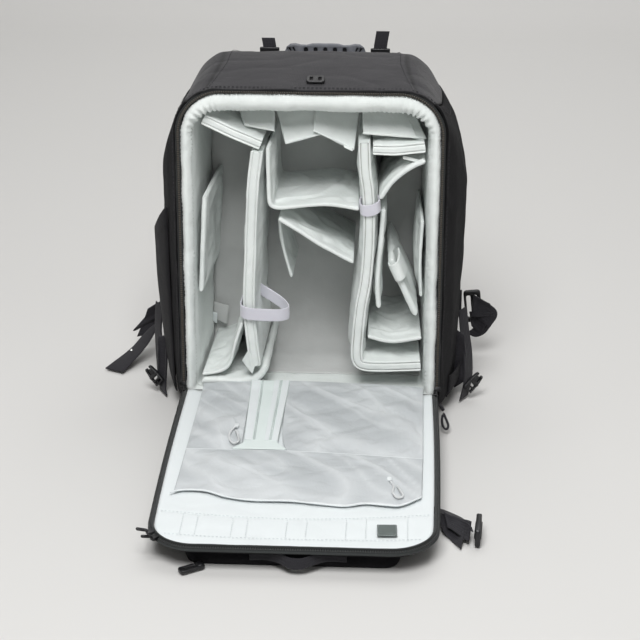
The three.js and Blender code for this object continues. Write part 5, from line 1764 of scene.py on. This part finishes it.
def make_stage(colours):
    """A pale floor that curves up behind, soft studio lights and the camera."""
    rise = 900

    def place(i, j):
        x = (i / 30 - 0.5) * 9000
        t = j / 60
        if t < 0.5:
            return Vector((x, -3500 + 5200 * t * 2, 0))
        angle = (t - 0.5) * math.pi
        return Vector((x, 1700 + rise * math.sin(angle), rise * (1 - math.cos(angle)) * 2.4))
    shape = laid_grid(30, 60, place)
    bmesh.ops.scale(shape, vec=Vector((MM, MM, MM)), verts=shape.verts[:])
    mesh = bpy.data.meshes.new("floor")
    shape.to_mesh(mesh)
    shape.free()
    mesh.shade_smooth()
    material, shader, _ = shaded_material("studio_paper", 0.9, specular=0.2)
    shader.inputs["Base Color"].default_value = (*colours.floor, 1)
    mesh.materials.append(material)
    floor = bpy.data.objects.new("floor", mesh)
    bpy.context.scene.collection.objects.link(floor)

    lights = [
        ("key_light", (-100, -1600, 2350), (0, -80, 120), 1300, 63),
        ("fill_light", (1700, -1300, 1700), (0, -100, 150), 1600, 3),
        ("back_light", (150, 1300, 2500), (150, 900, 0), 2400, 36),
        ("front_light", (250, -3100, 1100), (0, 0, 160), 1500, 4),
    ]
    for name, place_at, aim, size, power in lights:
        lamp = bpy.data.lights.new(name, "AREA")
        lamp.shape = "SQUARE"
        lamp.size = size * MM
        lamp.energy = power
        light = bpy.data.objects.new(name, lamp)
        light.location = Vector(place_at) * MM
        light.rotation_mode = "QUATERNION"
        light.rotation_quaternion = (Vector(aim) - Vector(place_at)).to_track_quat("-Z", "Y")
        bpy.context.scene.collection.objects.link(light)
    world = bpy.data.worlds.new("studio")
    world.use_nodes = True
    world.node_tree.nodes["Background"].inputs["Color"].default_value = (*linear("f4f3f0"), 1)
    world.node_tree.nodes["Background"].inputs["Strength"].default_value = 0.15
    bpy.context.scene.world = world
    bpy.context.scene.view_settings.view_transform = "Standard"

    lens = bpy.data.cameras.new("camera")
    lens.lens = CAMERA_LENS
    lens.clip_start = 0.05
    lens.clip_end = 30
    camera = bpy.data.objects.new("camera", lens)
    back = Vector((math.sin(CAMERA_AZIMUTH) * math.cos(CAMERA_ELEVATION),
                   -math.cos(CAMERA_AZIMUTH) * math.cos(CAMERA_ELEVATION), math.sin(CAMERA_ELEVATION)))
    camera.location = CAMERA_PLACE * MM
    camera.rotation_mode = "QUATERNION"
    camera.rotation_quaternion = (-back).to_track_quat("-Z", "Y")
    bpy.context.scene.collection.objects.link(camera)
    bpy.context.scene.camera = camera


class BACKPACK_OT_stage(bpy.types.Operator):
    """Lay the pale floor and set the studio lights and the camera"""

    bl_idname = "backpack.stage"
    bl_label = "Stage"

    def execute(self, context):
        make_finishes(context.scene.backpack_colours)
        make_stage(context.scene.backpack_colours)
        return {"FINISHED"}


class BACKPACK_OT_pull_cords(bpy.types.Operator):
    """Lay the cord loops of the net pockets' zips"""

    bl_idname = "backpack.pull_cords"
    bl_label = "Pull cords"

    def execute(self, context):
        make_pull_cords(context.scene.backpack_sizes)
        return {"FINISHED"}


class BACKPACK_OT_shell(bpy.types.Operator):
    """Sew the outer bag"""

    bl_idname = "backpack.shell"
    bl_label = "Outer bag"

    def execute(self, context):
        make_shell()
        return {"FINISHED"}


class BACKPACK_OT_lining(bpy.types.Operator):
    """Pad the inside walls and the rolled rim"""

    bl_idname = "backpack.lining"
    bl_label = "Padded lining"

    def execute(self, context):
        make_lining(context.scene.backpack_sizes)
        return {"FINISHED"}


class BACKPACK_OT_dividers(bpy.types.Operator):
    """Set the dividers, shelves, flaps and divider loops"""

    bl_idname = "backpack.dividers"
    bl_label = "Dividers"

    def execute(self, context):
        make_boards(context.scene.backpack_sizes)
        make_top_flaps()
        make_divider_loops()
        return {"FINISHED"}


class BACKPACK_OT_side_pockets(bpy.types.Operator):
    """Sew the stretch pockets of the sides"""

    bl_idname = "backpack.side_pockets"
    bl_label = "Side pockets"

    def execute(self, context):
        make_side_pockets()
        return {"FINISHED"}


class BACKPACK_OT_lid(bpy.types.Operator):
    """Make the opened front panel with its pockets and edge"""

    bl_idname = "backpack.lid"
    bl_label = "Front panel"

    def execute(self, context):
        make_lid()
        make_lid_binding()
        make_mesh_pockets()
        make_zip_band()
        return {"FINISHED"}


class BACKPACK_OT_straps(bpy.types.Operator):
    """Lay the webbing"""

    bl_idname = "backpack.straps"
    bl_label = "Webbing"

    def execute(self, context):
        make_straps()
        return {"FINISHED"}


class BACKPACK_OT_hardware(bpy.types.Operator):
    """Mould the buckles, the locks and the carry handle"""

    bl_idname = "backpack.hardware"
    bl_label = "Buckles and handle"

    def execute(self, context):
        make_hardware()
        return {"FINISHED"}


class BACKPACK_OT_zips(bpy.types.Operator):
    """Set the zip round the opening and every slider"""

    bl_idname = "backpack.zips"
    bl_label = "Zips"

    def execute(self, context):
        make_zips()
        return {"FINISHED"}


class BACKPACK_OT_seams(bpy.types.Operator):
    """Sew the seams of the outer bag"""

    bl_idname = "backpack.seams"
    bl_label = "Seams"

    def execute(self, context):
        make_seams(context.scene.backpack_sizes)
        return {"FINISHED"}


class BACKPACK_OT_swell(bpy.types.Operator):
    """Let the padded pieces and nets swell and wrinkle between their seams"""

    bl_idname = "backpack.swell"
    bl_label = "Swell the padding"

    def execute(self, context):
        settle(context.scene.backpack_sizes.puff_frames)
        return {"FINISHED"}


class BACKPACK_OT_harness(bpy.types.Operator):
    """Pad the harness"""

    bl_idname = "backpack.harness"
    bl_label = "Harness"

    def execute(self, context):
        make_harness()
        return {"FINISHED"}


OPERATORS = [
    BACKPACK_OT_stage, BACKPACK_OT_pull_cords, BACKPACK_OT_shell, BACKPACK_OT_lining, BACKPACK_OT_dividers,
    BACKPACK_OT_side_pockets, BACKPACK_OT_lid, BACKPACK_OT_straps, BACKPACK_OT_hardware, BACKPACK_OT_zips,
    BACKPACK_OT_seams, BACKPACK_OT_harness, BACKPACK_OT_swell,
]


class BACKPACK_PT_panel(bpy.types.Panel):
    """Lists the backpack's sizes, colours and steps"""

    bl_idname = "BACKPACK_PT_panel"
    bl_label = "Camera Backpack"
    bl_space_type = "VIEW_3D"
    bl_region_type = "UI"
    bl_category = "Backpack"

    def draw(self, context):
        for group in (context.scene.backpack_sizes, context.scene.backpack_colours):
            column = self.layout.column(align=True)
            for name in group.bl_rna.properties.keys():
                if name not in ("rna_type", "name"):
                    column.prop(group, name)
        steps = self.layout.column(align=True)
        for operator in OPERATORS:
            steps.operator(operator.bl_idname)


CLASSES = [BackpackSizes, BackpackColours, *OPERATORS, BACKPACK_PT_panel]


def register():
    """Registers the settings, the operators and the panel."""
    for item in CLASSES:
        bpy.utils.register_class(item)
    bpy.types.Scene.backpack_sizes = PointerProperty(type=BackpackSizes)
    bpy.types.Scene.backpack_colours = PointerProperty(type=BackpackColours)


def unregister():
    """Takes the settings, the operators and the panel out again."""
    del bpy.types.Scene.backpack_colours
    del bpy.types.Scene.backpack_sizes
    for item in reversed(CLASSES):
        bpy.utils.unregister_class(item)


def main():
    """Makes the whole bag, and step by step."""
    register()
    bpy.ops.backpack.stage()
    bpy.ops.backpack.pull_cords()
    bpy.ops.backpack.shell()
    bpy.ops.backpack.lining()
    bpy.ops.backpack.dividers()
    bpy.ops.backpack.side_pockets()
    bpy.ops.backpack.lid()
    bpy.ops.backpack.straps()
    bpy.ops.backpack.hardware()
    bpy.ops.backpack.zips()
    bpy.ops.backpack.seams()
    bpy.ops.backpack.harness()
    bpy.ops.backpack.swell()


if __name__ == "__main__":
    main()
